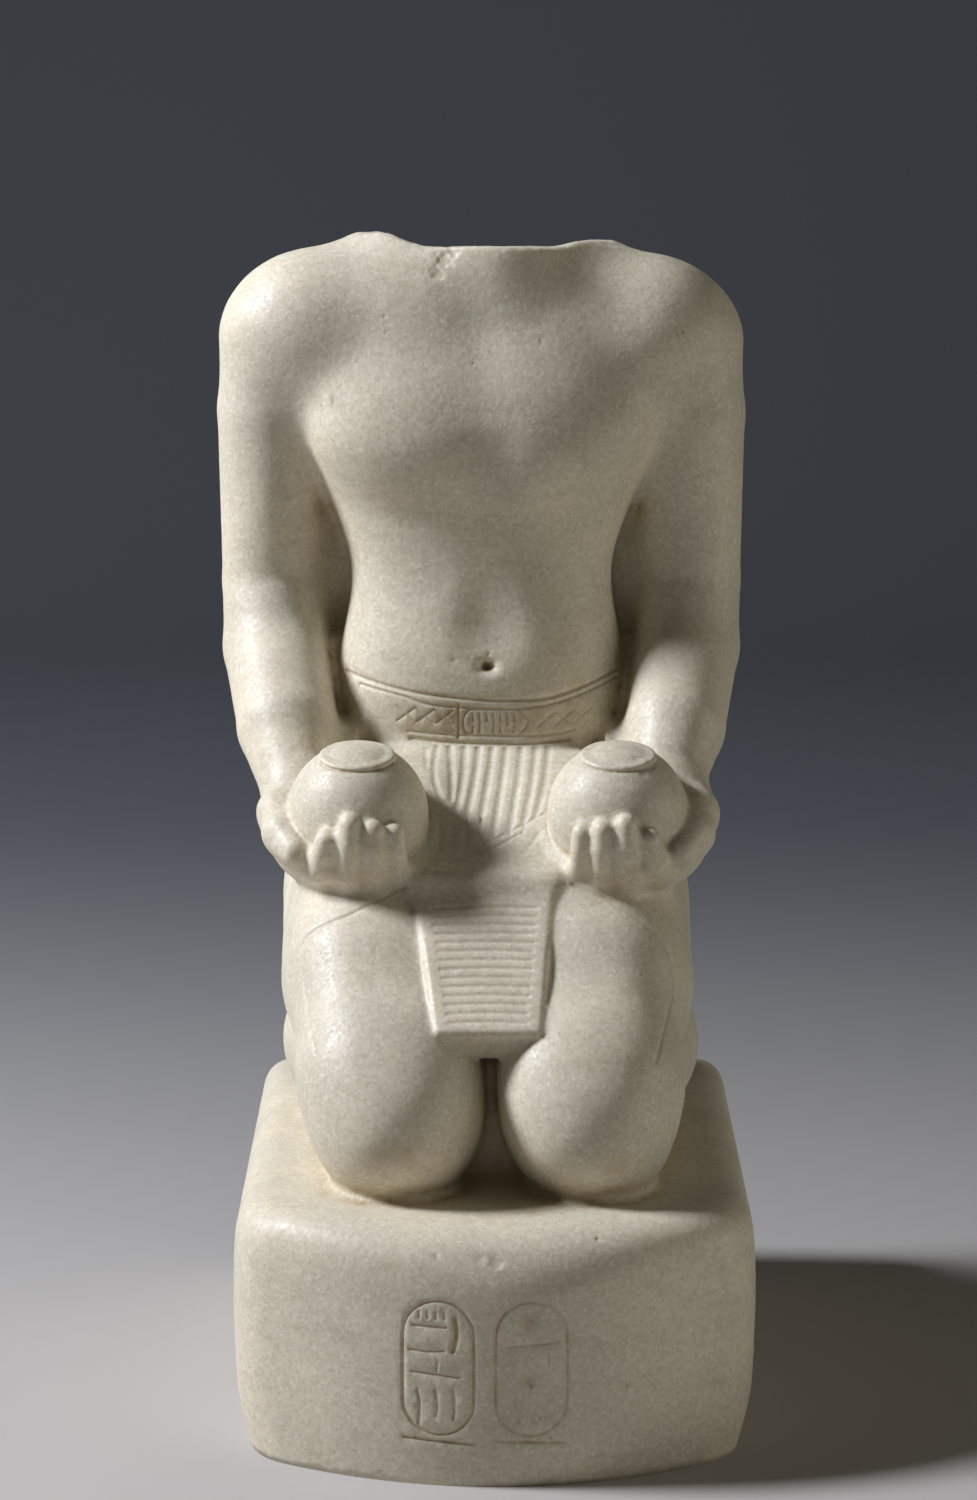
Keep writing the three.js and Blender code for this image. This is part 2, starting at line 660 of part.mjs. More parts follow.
// A cutter for a carved line with a V section, from one point to another.
function lineCutter(from, to, depth = GROOVE) {
  const a = new THREE.Vector3(...from);
  const b = new THREE.Vector3(...to);
  const rod = new THREE.CylinderGeometry(depth, depth, a.distanceTo(b), 4);
  const turn = new THREE.Quaternion().setFromUnitVectors(new THREE.Vector3(0, 1, 0), b.clone().sub(a).normalize());
  rod.applyQuaternion(turn);
  rod.translate(...a.add(b).multiplyScalar(0.5));
  return rod;
}

const onPlinth = ([x, y, z]) => [x * SCALE, y * SCALE, z * SCALE + PLINTH_HEIGHT];
const mix = (a, b, t) => a + (b - a) * t;

// The kilt's pleats run down the lap between the jars, spreading a little.
function pleats() {
  const PLEATS = 8; // to each side of the middle
  const SPREAD = 1.06;
  return Array.from({ length: 2 * PLEATS - 1 }, (_, i) => {
    const x = (i - PLEATS + 1) * PLEAT_PITCH;
    const reach = 0.9 - 0.22 * (i / (2 * PLEATS - 2)); // the overlap's edge climbs towards +X
    const place = (t, spread) => {
      const y = mix(LAP_TOP[0], LAP_FOOT[0], t);
      const z = mix(LAP_TOP[1], LAP_FOOT[1], t);
      return onPlinth([middleAt(z) + x * spread, y, z]);
    };
    return lineCutter(place(0.07, 1), place(reach, SPREAD));
  });
}

// Lines across the apron, between its two plain borders.
function apronLines() {
  const BORDER = 4.5;
  const length = Math.hypot(APRON_FOOT[0] - APRON_TOP[0], APRON_FOOT[1] - APRON_TOP[1]);
  const count = Math.floor((0.78 * length) / LINE_PITCH);
  return Array.from({ length: count }, (_, i) => {
    const t = 1 - ((i + 1) * LINE_PITCH) / length;
    const half = mix(APRON_HALF_TOP, APRON_HALF_FOOT, t) - BORDER;
    const y = mix(APRON_TOP[0], APRON_FOOT[0], t);
    const z = mix(APRON_TOP[1], APRON_FOOT[1], t);
    return lineCutter(onPlinth([middleAt(z) - half, y, z]), onPlinth([middleAt(z) + half, y, z]), GROOVE * 0.8);
  });
}

// How far forward the plinth's front reaches at x.
const frontAt = (x) => -PLINTH_DEPTH / 2 + PLINTH_FRONT_BOW * (x / (PLINTH_WIDTH / 2)) ** 2;

// An upright ring with round ends on the plinth's front, and the bar that it stands on.
function ring(x) {
  const ROUND = 24;
  const radius = RING_WIDTH / 2;
  const straight = (RING_HEIGHT - RING_WIDTH) / 2;
  const hoop = new THREE.TorusGeometry(radius, RING_GROOVE, 4, ROUND);
  hoop.rotateZ(Math.PI / ROUND);
  const place = hoop.attributes.position;
  for (let i = 0; i < place.count; i += 1) place.setY(i, place.getY(i) + Math.sign(place.getY(i)) * straight);
  hoop.rotateX(Math.PI / 2);
  const foot = RING_FOOT - 1.6;
  const slant = Math.atan2(frontAt(x + radius) - frontAt(x - radius), RING_WIDTH);
  hoop.rotateZ(slant);
  hoop.translate(x, frontAt(x), RING_FOOT + RING_HEIGHT / 2);
  const barEnd = (side) => [x + side * radius * 1.05, frontAt(x + side * radius), foot];
  return [hoop, lineCutter(barEnd(-1), barEnd(1), RING_GROOVE)];
}

// The carving, sawn flat underneath so that it stands, with its lines cut in.
function carving() {
  const low = [-Math.max(PLINTH_WIDTH / 2, 78 * SCALE) - 4, -PLINTH_DEPTH / 2 - 4, -SAW - 4];
  const high = [-low[0], -low[1], PLINTH_HEIGHT + FIGURE_HEIGHT + 6];
  const { vertices, triangles } = simplify(surface(statue, low, high), TRIANGLES);
  const block = new wasm.Manifold(new wasm.Mesh({ numProp: 3, vertProperties: vertices, triVerts: triangles }));
  const below = new THREE.BoxGeometry(4 * PLINTH_WIDTH, 4 * PLINTH_DEPTH, 4 * SAW);
  below.translate(0, 0, -2 * SAW);
  const cutters = [below, ...pleats(), ...apronLines(), ...RING_PLACES.flatMap(ring)];
  return geometryOf(cutters.reduce((left, cutter) => left.subtract(solidOf(cutter)), block));
}

const marble = new THREE.MeshStandardMaterial({ color: 0xcbc4b4, roughness: 0.5, metalness: 0 });
const statueMesh = new THREE.Mesh(carving(), marble);
statueMesh.name = 'kneeling_statue';
const group = new THREE.Group();
group.add(statueMesh);

export default group;
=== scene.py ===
"""A kneeling king without its head, with a round offering jar in each hand, carved in white marble.

Figure, jars and plinth are one block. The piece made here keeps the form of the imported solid: it is a copy
of it, made fine, drawn onto the same rounded form and then cut with the lines of the dress, the plinth's two
rings and the wear of the stone. The form and its lines are in millimetres, as the solid's are, and Blender's
objects in metres.
"""
import math

import bpy
import numpy as np
from bpy.props import FloatProperty, FloatVectorProperty, IntProperty, PointerProperty
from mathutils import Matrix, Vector
from mathutils.kdtree import KDTree


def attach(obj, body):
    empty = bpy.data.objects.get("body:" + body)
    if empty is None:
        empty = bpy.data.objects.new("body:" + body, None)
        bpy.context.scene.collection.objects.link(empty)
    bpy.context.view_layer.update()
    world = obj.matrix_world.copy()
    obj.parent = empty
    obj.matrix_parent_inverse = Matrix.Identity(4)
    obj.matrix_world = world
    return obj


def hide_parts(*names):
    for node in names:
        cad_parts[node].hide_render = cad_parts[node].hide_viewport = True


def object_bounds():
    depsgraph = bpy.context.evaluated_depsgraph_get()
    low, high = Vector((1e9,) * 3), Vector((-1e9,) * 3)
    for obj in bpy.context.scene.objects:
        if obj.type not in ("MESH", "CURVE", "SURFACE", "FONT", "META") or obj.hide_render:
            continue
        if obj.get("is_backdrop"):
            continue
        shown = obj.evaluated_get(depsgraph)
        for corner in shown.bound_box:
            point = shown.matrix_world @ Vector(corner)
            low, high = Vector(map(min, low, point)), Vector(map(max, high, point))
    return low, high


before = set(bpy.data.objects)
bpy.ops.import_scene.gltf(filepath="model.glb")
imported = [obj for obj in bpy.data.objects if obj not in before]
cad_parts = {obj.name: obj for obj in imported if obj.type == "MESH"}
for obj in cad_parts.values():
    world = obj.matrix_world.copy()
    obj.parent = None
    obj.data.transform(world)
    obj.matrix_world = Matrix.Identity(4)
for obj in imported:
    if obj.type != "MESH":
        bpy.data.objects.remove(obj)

bl_info = {
    "name": "Kneeling Statue in White Marble",
    "version": (1, 0, 0),
    "blender": (4, 5, 0),
    "location": "View3D > Sidebar > Statue",
    "description": "Carves a headless kneeling king with two offering jars, and sets it in a studio",
    "category": "Object",
}

CAD_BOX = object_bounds()
NODE = "kneeling_statue"
MM = 0.001

# Driving sizes, in millimetres, as the solid has them.
PLINTH_WIDTH = 125.0
PLINTH_DEPTH = 186.0
PLINTH_HEIGHT = 62.0
PLINTH_FRONT_BOW = 25.0
PLINTH_BACK_BOW = 4.0
PLINTH_CORNER = 9.0
PLINTH_EDGE = 9.0
JAR_RADIUS = 17.2
RIM_RADIUS = 9.4
RIM_RISE = 1.1
SAW = 5.0


def linear(colour):
    """A colour given as sRGB hex, as Blender's shaders count it."""
    parts = [int(colour[i:i + 2], 16) / 255 for i in (1, 3, 5)]
    return tuple(c / 12.92 if c <= 0.04045 else ((c + 0.055) / 1.055) ** 2.4 for c in parts)


# The rounded form. Each shape is a function of places x, y, z that gives the distance to the shape's surface,
# negative inside.

def blend(a, b, k):
    """Joins two distances with a soft fillet about k wide."""
    h = np.maximum(k - np.abs(a - b), 0.0) / k
    return np.minimum(a, b) - h * h * (k / 4)


def blend_cut(a, b, k):
    return -blend(-a, b, k)


def blend_max(a, b, k):
    return -blend(-a, -b, k)


def ease(low, high, v):
    t = np.clip((v - low) / (high - low), 0.0, 1.0)
    return t * t * (3 - 2 * t)


def limb(start, r0, end, r1):
    """Two balls and the cone between them."""
    sx, sy, sz = start
    wx, wy, wz = (b - a for a, b in zip(start, end))
    length = math.sqrt(wx * wx + wy * wy + wz * wz)
    wx, wy, wz = wx / length, wy / length, wz / length
    slant = (r0 - r1) / length
    level = math.sqrt(1 - slant * slant)

    def distance(x, y, z):
        px, py, pz = x - sx, y - sy, z - sz
        up = px * wx + py * wy + pz * wz
        out2 = np.maximum(px * px + py * py + pz * pz - up * up, 0.0)
        out = np.sqrt(out2)
        side = level * up - slant * out
        cone = level * out + slant * up - r0
        near = np.sqrt(out2 + up * up) - r0
        far = np.sqrt(out2 + (up - length) ** 2) - r1
        return np.where(side < 0, near, np.where(side > level * length, far, cone))

    return distance


def egg(centre, axes, tip=0.0):
    cx, cy, cz = centre
    rx, ry, rz = axes
    c, s = math.cos(tip), math.sin(tip)

    def distance(x, y, z):
        px = x - cx
        py = (y - cy) * c + (z - cz) * s
        pz = (z - cz) * c - (y - cy) * s
        k0 = np.sqrt((px / rx) ** 2 + (py / ry) ** 2 + (pz / rz) ** 2)
        k1 = np.sqrt((px / rx ** 2) ** 2 + (py / ry ** 2) ** 2 + (pz / rz ** 2) ** 2)
        return k0 * (k0 - 1) / np.maximum(k1, 1e-9)

    return distance


def slab(top, foot, top_half, foot_half, thick, edge):
    """A slab with round edges. top and foot are the y, z of the ends of its outer face."""
    length = math.hypot(foot[0] - top[0], foot[1] - top[1])
    ey = (foot[0] - top[0]) / length
    ez = (foot[1] - top[1]) / length

    def distance(x, y, z):
        py, pz = y - top[0], z - top[1]
        down = py * ey + pz * ez
        out = py * ez - pz * ey
        half = top_half + (foot_half - top_half) * np.clip(down / length, 0, 1)
        qx = np.abs(x) - half + edge
        qd = np.abs(down - length / 2) - length / 2 + edge
        qo = np.abs(out + thick / 2) - thick / 2 + edge
        outside = np.sqrt(np.maximum(qx, 0) ** 2 + np.maximum(qd, 0) ** 2 + np.maximum(qo, 0) ** 2)
        return outside + np.minimum(np.maximum(np.maximum(qx, qd), qo), 0) - edge

    return distance


def profile(rows):
    """Smoothly varying values between the rows of a table whose first column is the height."""
    rows = np.array(rows, float)
    heights = rows[:, 0]
    after = np.vstack([rows[1:], rows[-1:]])
    before = np.vstack([rows[:1], rows[:-1]])
    slopes = (after - before) / (after[:, :1] - before[:, :1])

    def at(z, column):
        i = np.clip(np.searchsorted(heights, z), 1, len(rows) - 1)
        span = heights[i] - heights[i - 1]
        t = np.clip((z - heights[i - 1]) / span, 0, 1)
        low, high = rows[i - 1, column], rows[i, column]
        m0, m1 = span * slopes[i - 1, column], span * slopes[i, column]
        t2, t3 = t * t, t * t * t
        ends = (2 * t3 - 3 * t2 + 1) * low + (3 * t2 - 2 * t3) * high
        return ends + (t3 - 2 * t2 + t) * m0 + (t3 - t2) * m1

    return at


# The trunk's sections from hips to neck: height above the plinth, half width, front, back, squareness.
trunk_at = profile([
    (70, 42, -6, 50, 2.4),
    (100, 38.5, -8.5, 46, 2.4),
    (113, 37.6, -9, 43.5, 2.35),
    (123, 36.2, -8, 41.5, 2.3),
    (139, 33.2, -4.5, 39, 2.25),
    (148, 33.6, -3.6, 38.6, 2.25),
    (158, 36.8, -4.2, 39.5, 2.25),
    (168, 41, -6, 42, 2.3),
    (178, 45, -6.8, 44, 2.35),
    (188, 46.4, -3.8, 45.4, 2.35),
    (198, 46.5, 0.4, 46, 2.35),
    (208, 44, 4.4, 44.5, 2.3),
    (217, 38, 8, 41, 2.2),
    (224, 31.5, 10, 38, 2.1),
    (231, 27.5, 11, 36, 2),
    (240, 25, 11.5, 35, 2),
])


def trunk(x, y, z):
    half, front, back, square = (trunk_at(z, column) for column in (1, 2, 3, 4))
    middle = (front + back) / 2
    deep = (back - front) / 2
    u = np.maximum(np.abs(x) / half, 1e-6)
    v = np.maximum(np.abs(y - middle) / deep, 1e-6)
    us, vs = u ** (square - 1), v ** (square - 1)
    q = (us * u + vs * v) ** (1 / square)
    slope = q ** (1 - square) * np.sqrt((us / half) ** 2 + (vs / deep) ** 2)
    return blend_max((q - 1) / slope, np.maximum(70 - z, z - 240), 4)


# Everything below is drawn for the figure's own +X half, with x counted from its middle.
chest = egg((15.5, 6.5, 187), (25, 13, 21), -0.3)
neck = egg((0, 19, 222), (16, 16.5, 40), 0.04)
NECK_OFF = 4.5
shoulder_bar = limb((16, 21, 213.5), 15, (40, 21, 207.3), 16.4)
back_blade = egg((22, 40, 194), (15, 7, 18))
back_furrow = limb((0, 49, 205), 3, (0, 45, 125), 3)
front_furrow = limb((2, -21.5, 172), 12, (2, -17.8, 134), 12)
shoulder = limb((49.3, 22, 201.8), 16.6, (52, 22.5, 184), 15)
upper_arm = limb((52, 22.5, 184), 15, (53.4, 25, 140), 12.9)
elbow = limb((53.4, 25, 140), 12.9, (52.4, 18, 124), 13.4)
forearm = limb((52.4, 18, 124), 13.4, (48.8, -5, 107), 12.4)
lower_forearm = limb((48.8, -5, 107), 12.4, (45.6, -20, 93.2), 8.6)
wrist = limb((45.6, -20, 93.2), 8.6, (42.2, -28, 83.5), 9.5)
arm_web = slab((23, 192), (21, 100), 52, 52, 14, 4)
navel = egg((1.5, -9, 122.6), (2, 3.4, 1))

# The hips, legs and apron.
side_web = slab((20, 106), (-16, 72), 46, 44, 44, 8)
seat = egg((19, 46, 66), (31, 29, 31))
LAP_TOP, LAP_FOOT = (13, 101.5), (-32, 69)
lap = slab(LAP_TOP, LAP_FOOT, 33, 34, 58, 9)
thigh = limb((28, 42, 52), 25.5, (27, -20, 45), 24.2)
THIGH_X = 24.2
thigh_top = slab((8, 100), (-71, 28), 23.5, 20.5, 42, 15)
knee = limb((25, -44, 27), 21.5, (23.5, -52, 18.5), 20.5)
knee_foot = limb((24, -45.5, 10), 15, (27, -10, 11), 15.5)
shin = limb((24.5, -50, 18), 19, (32, 10, 22), 20.5)
shin_foot = limb((27, -10, 11), 15.5, (33, 38, 11), 16)
calf = limb((32, 10, 23), 20.5, (28, 54, 26), 12.5)
sole = slab((77, 3), (72, 54), 11.2, 8.6, 19, 7)
APRON_TOP, APRON_FOOT = (-27.5, 72.3), (-60.5, 41.2)
APRON_HALF_TOP, APRON_HALF_FOOT = 17.8, 13.2
apron = slab(APRON_TOP, APRON_FOOT, APRON_HALF_TOP, APRON_HALF_FOOT, 12, 1.6)
between = slab((-39.1, 59), (-46, -4), 14, 14, 97, 4)

SOLE_X = 25
TOES = 5
TOE_PITCH = 4.6


def toe(i):
    x = SOLE_X + (i - (TOES - 1) / 2) * TOE_PITCH
    thick = 3.6 if i == 0 else 2.9
    return limb((x, 68, 4), thick + 0.6, (x, 49 + i * 1.6, 3), thick)


toes = [toe(i) for i in range(TOES)]

JAR = (31.8, -36, 91)
JAR_LEAN = 0.2
HAND_OUT = 1.6


def jar(x, y, z):
    px, py, pz = x - JAR[0], y - JAR[1], z - JAR[2]
    up = pz * math.cos(JAR_LEAN) - py * math.sin(JAR_LEAN)
    across2 = np.maximum(px * px + py * py + pz * pz - up * up, 0)
    across = np.sqrt(across2)
    rim_top = math.sqrt(JAR_RADIUS ** 2 - RIM_RADIUS ** 2) + RIM_RISE
    ball = np.sqrt(across2 + up * up) - JAR_RADIUS
    crown = up - rim_top - 0.6 * (1 - (across / RIM_RADIUS) ** 2)
    rim = blend_max(across - RIM_RADIUS, np.maximum(crown, -up), 1)
    return np.minimum(ball, rim)


# Fingers climb the front of the jar: outward shift at the tip and at the root, angle of the tip, thickness.
FINGERS = [
    (7.2, 11, -0.2, 3),
    (1.5, 2.4, 0.03, 3.1),
    (-4.1, -4.2, -0.05, 3),
    (-9.2, -9.6, -0.12, 2.7),
]
FINGER_TURNS = 5
FINGER_LOW = -1.3


def finger_point(tip_out, root_out, tip_angle, t):
    angle = FINGER_LOW + (tip_angle - FINGER_LOW) * t
    out = root_out + (tip_out - root_out) * t
    ring = math.sqrt((JAR_RADIUS + 1 + 0.5 * t) ** 2 - out * out)
    return JAR[0] + out, JAR[1] - ring * math.cos(angle), JAR[2] + ring * math.sin(angle)


def finger(tip_out, root_out, tip_angle, thick):
    points = [finger_point(tip_out, root_out, tip_angle, i / FINGER_TURNS) for i in range(FINGER_TURNS + 1)]
    ends = [thick] * FINGER_TURNS + [thick * 0.88]
    return [limb(a, ra, b, rb) for a, ra, b, rb in zip(points, ends, points[1:], ends[1:])]


fingers = [finger(*shape) for shape in FINGERS]
thumb = [
    limb((47.2, -18, 93), 6.2, (51, -30, 90), 5.5),
    limb((51, -30, 90), 5.5, (50.4, -39, 86.7), 4.6),
    limb((50.4, -39, 86.7), 4.6, (47.1, -46.3, 83.5), 3.5),
]
palm = egg((JAR[0] + 2, JAR[1] + 1, JAR[2] - 2), (JAR_RADIUS + 3.2, JAR_RADIUS + 2.6, JAR_RADIUS + 1.4))


def hand(x, y, z):
    brim = z - JAR[2] + 12 - 0.5 * np.maximum(y - JAR[1] + 12, 0)
    d = blend_max(palm(x, y, z), brim, 3)
    d = blend(d, wrist(x, y, z), 9)
    grip = np.full_like(x, 1e3)
    for pieces in fingers:
        one = np.full_like(x, 1e3)
        for piece in pieces:
            one = np.minimum(one, piece(x, y, z))
        grip = blend(grip, one, 2.2)
    d = blend(d, grip, 2.5)
    outer = np.full_like(x, 1e3)
    for part in thumb:
        outer = blend(outer, part(x, y, z), 2)
    return blend(d, outer, 3.5)


LEAN = 3.3
SHOULDER_DROP = 1.5


def middle_at(z):
    """The upper body leans a little to -X over the knees."""
    return -LEAN * ease(-20, 105, z)


def neck_break(x, y, z):
    rise = 4 * ease(12, 27, -x) + 2 * ease(17, 27, x) - 0.09 * (y - 6)
    return z - (226.4 + rise)


# The trunk, arms and jars are drawn in a frame of their own, a little larger and set back over the thighs.
UPPER_SCALE = 1.0185
UPPER_BACK = 20.2
UPPER_DROP = 5.45


def upper_trunk(xm, y, z):
    x = np.abs(xm)
    soft = np.sqrt(xm * xm + 30)  # keeps the two halves from meeting in a crease
    body = trunk(xm, y, z)
    body = blend(body, chest(soft, y, z), 11)
    body = blend(body, back_blade(x, y, z), 10)
    body = blend(body, neck(xm - NECK_OFF, y, z), 5)
    body = blend(body, shoulder_bar(soft, y, z), 16)
    body = blend_cut(body, back_furrow(x, y, z), 8)
    body = blend_cut(body, front_furrow(xm, y, z), 6)
    return blend(body, np.maximum(arm_web(x, y, z), 30 - x), 3)


def upper_arms(x, y, z):
    arm = blend(shoulder(x, y, z), upper_arm(x, y, z), 1)
    arm = blend(arm, elbow(x, y, z), 1)
    arm = blend(arm, forearm(x, y, z), 1.5)
    return blend(arm, lower_forearm(x, y, z), 1)


def legs(x, y, z, low):
    leg = blend(thigh(x, y, z), knee(x, y, z), 8)
    leg = blend(leg, thigh_top(x - THIGH_X, y, z), 8)
    leg = blend(leg, blend(shin(x, y, z), calf(x, y, z), 4), 3)
    leg = blend(leg, knee_foot(x, y, z), 8)
    leg = blend(leg, shin_foot(x, y, z), 6)
    if low < 75:
        foot = sole(x - SOLE_X, y, z)
        for one in toes:
            foot = blend(foot, one(x, y, z), 1.5)
        leg = blend(leg, foot, 6)
    return blend(leg, between(x, y, z), 4)


def figure(x0, y, z):
    xm = x0 - middle_at(z)
    x = np.abs(xm)
    yu = (y - UPPER_BACK) / UPPER_SCALE
    zu = (z + UPPER_DROP) / UPPER_SCALE
    xu = x0 / UPPER_SCALE - middle_at(zu)
    zs = zu + SHOULDER_DROP * ease(170, 205, zu) * ease(0, 45, xu)
    body = UPPER_SCALE * upper_trunk(xu, yu, zs)
    body = blend(body, seat(x, y, z), 14)
    body = blend(body, lap(x, y, z), 5)
    body = blend(body, np.maximum(side_web(x, y, z), 32 - x), 6)
    body = blend(body, UPPER_SCALE * upper_arms(np.abs(xu), yu, zs), 5 + 11 * ease(172, 205, z))
    body = blend(body, legs(x, y, z, z.min()), 6)
    body = blend(body, apron(xm, y, z), 1.5 + 9 * ease(66, 78, z))
    if z.min() < 125:
        xh = np.abs(xu) + np.where(xu < 0, HAND_OUT, -HAND_OUT) * ease(20, -20, yu)
        body = blend(body, UPPER_SCALE * hand(xh, yu, zu), 3)
        body = blend(body, UPPER_SCALE * jar(xh, yu, zu), 1)
    body = blend_cut(body, UPPER_SCALE * navel(xu, yu, zu), 2.5)
    return blend_max(body, UPPER_SCALE * neck_break(xu, yu, zu), 1.2)


plinth_swell = profile([(-10, -7), (0, -3), (5, -1.4), (13, 0.4), (30, 1.3), (48, 1.2), (62, 0), (70, 0)])


def plinth(x, y, z):
    swell = plinth_swell(z * 62 / PLINTH_HEIGHT, 1)
    half = PLINTH_WIDTH / 2 + swell
    reach = PLINTH_DEPTH / 2 + swell * 0.3
    bow = PLINTH_FRONT_BOW * (x / (PLINTH_WIDTH / 2)) ** 2
    slope = 2 * PLINTH_FRONT_BOW * x / (PLINTH_WIDTH / 2) ** 2
    front = (-y - reach + bow) / np.sqrt(1 + slope * slope)
    back = y - reach + PLINTH_BACK_BOW * (x / (PLINTH_WIDTH / 2)) ** 2
    plan = blend_max(blend_max(np.abs(x) - half, front, PLINTH_CORNER), back, PLINTH_CORNER)
    worn = PLINTH_EDGE * (1 + np.exp(-(x / 34) ** 2 - ((y + reach) / 30) ** 2))
    return blend_max(blend_max(plan, z - PLINTH_HEIGHT, worn), -SAW - z, PLINTH_EDGE / 3)


def statue(x, y, z):
    block = plinth(x, y, z)
    up = z - PLINTH_HEIGHT
    if up.max() < -20:
        return block
    whole = blend(block, figure(x, y, np.maximum(up, -1)), 4)
    return np.where(up < -20, block, whole)


CHUNK = 12000  # places worked out at a time, in order of height, so that whole limbs can be passed over
CORNERS = np.array([(1, -1, -1), (-1, -1, 1), (-1, 1, -1), (1, 1, 1)], float)


def in_chunks(places, work):
    """Runs work on the places in order of height and gives back its results in the places' own order."""
    order = np.argsort(places[:, 2])
    results = np.concatenate([work(places[order[i:i + CHUNK]]) for i in range(0, len(order), CHUNK)])
    back = np.empty_like(results)
    back[order] = results
    return back


def distance_at(places):
    return in_chunks(places, lambda p: statue(p[:, 0], p[:, 1], p[:, 2]))


def lie_of(places, reach=0.06):
    """For each place, the way out of the stone and the distance to its surface, as four columns."""
    def work(p):
        total = np.zeros((len(p), 4))
        for corner in CORNERS:
            q = p + reach * corner
            value = statue(q[:, 0], q[:, 1], q[:, 2])
            total[:, :3] += corner * value[:, None]
            total[:, 3] += value / 4
        total[:, :3] /= 4 * reach
        return total

    return in_chunks(places, work)


def settle(places, rounds=2, furthest=0.8):
    """Draws places onto the surface of the rounded form. Gives them with the way out at each."""
    for _ in range(rounds):
        lie = lie_of(places)
        steep = np.maximum((lie[:, :3] ** 2).sum(1), 0.2)
        move = np.clip(lie[:, 3] / steep, -furthest, furthest)
        places = places - lie[:, :3] * move[:, None]
    out = lie[:, :3] / np.linalg.norm(lie[:, :3], axis=1, keepdims=True)
    return places, out


# Lines and marks. A line is drawn as seen from one side of the figure, and falls on the surface there.

FRONT = (0, 1)
LEFT, RIGHT = (1, -1), (1, 1)  # seen from +X looking along -X, and from -X looking along +X
STEP = 0.25  # spacing of the places along a line


def fall(view, points, start=130.0):
    """Where drawn points land on the stone: x and z seen from the front, or y and z from a side."""
    along, sign = (1, 1) if view == FRONT else (0, view[1])
    drawn = np.array(points, float)
    places = np.zeros((len(drawn), 3))
    places[:, 1 - along] = drawn[:, 0]
    places[:, 2] = drawn[:, 1]
    places[:, along] = -sign * start
    for _ in range(60):
        places[:, along] += sign * 0.8 * distance_at(places)
    return places


def smooth_path(points, spacing=STEP):
    """A smooth curve through drawn points, as evenly spaced points."""
    points = np.array(points, float)
    if len(points) > 2:
        ends = np.vstack([2 * points[0] - points[1], points, 2 * points[-1] - points[-2]])
        curve = []
        for i in range(1, len(ends) - 2):
            a, b, c, d = ends[i - 1:i + 3]
            for t in np.linspace(0, 1, 12, endpoint=False):
                cubic = 3 * (b - c) + d - a
                square = 2 * a - 5 * b + 4 * c - d
                curve.append(b + 0.5 * t * (c - a + t * (square + t * cubic)))
        points = np.array(curve + [points[-1]])
    lengths = np.concatenate([[0], np.cumsum(np.linalg.norm(np.diff(points, axis=0), axis=1))])
    at = np.linspace(0, lengths[-1], max(int(lengths[-1] / spacing), 1) + 1)
    return np.column_stack([np.interp(at, lengths, points[:, 0]), np.interp(at, lengths, points[:, 1])])


class Lines:
    """Carved lines: places on the stone, with the line's half width, depth and how much dirt it holds."""

    def __init__(self):
        self.drawn = []

    def add(self, points, half=0.7, deep=0.35, dirt=0.4, view=FRONT, fade=0.0):
        path = smooth_path(points)
        lasting = np.ones(len(path))
        if fade:
            t = np.linspace(0, 1, len(path))
            lasting = ease(0, fade, t) * ease(0, fade, 1 - t)
        self.drawn.append((view, path, np.column_stack([
            np.full(len(path), half), deep * lasting, np.full(len(path), dirt)])))

    def on_stone(self):
        places, facts = [], []
        for view in (FRONT, LEFT, RIGHT):
            group = [(path, rest) for seen, path, rest in self.drawn if seen == view]
            if group:
                places.append(fall(view, np.vstack([path for path, _ in group])))
                facts.append(np.vstack([rest for _, rest in group]))
        return np.vstack(places), np.vstack(facts)


def belt(lines):
    """Two lines above and two below, with a lozenge pattern between them and a long clasp in the middle."""
    top = [(-38.1, 178.3), (-31.3, 176.7), (-20.9, 174.7), (-9.9, 173.6), (1, 172.9), (11.9, 173.2),
           (18, 174.4), (24, 176.3), (31.6, 178.8)]
    second = [(-34.4, 175.6), (-23.8, 173.6), (-17.8, 171.9), (-10.9, 171.2), (-1, 170.9), (6.4, 170.8),
              (15.9, 172.1), (25.5, 175), (31.6, 177)]
    lower = [(-22, 164.6), (-9.9, 164), (8, 163.7), (16.4, 164.1), (20.5, 164.8)]
    edge = [(-21.5, 162.8), (-14.8, 162.3), (-2.9, 161.9), (9, 161.8), (19.5, 162.6)]
    lines.add(top, half=0.75, deep=0.5, dirt=0.4)
    lines.add(second, half=0.6, deep=0.4, dirt=0.45)
    lines.add(lower, half=0.5, deep=0.3, dirt=0.4)
    lines.add(edge, half=0.9, deep=0.6, dirt=0.5)
    for x in (-25.5, -20.7, -15.9):
        rise = 0.05 * abs(x)
        lines.add([(x, 165.4 + rise), (x + 6, 170 + rise)], half=0.42, deep=0.26, dirt=0.35, fade=0.15)
        lines.add([(x, 170.2 + rise), (x + 6, 165.2 + rise)], half=0.42, deep=0.24, dirt=0.35, fade=0.15)
    for x in (10.2, 14.8, 19.4):
        rise = 0.04 * x
        lines.add([(x, 165.2 + rise), (x + 5.8, 169.8 + rise)], half=0.42, deep=0.22, dirt=0.3, fade=0.15)
        lines.add([(x, 169.9 + rise), (x + 5.8, 165 + rise)], half=0.42, deep=0.2, dirt=0.3, fade=0.15)


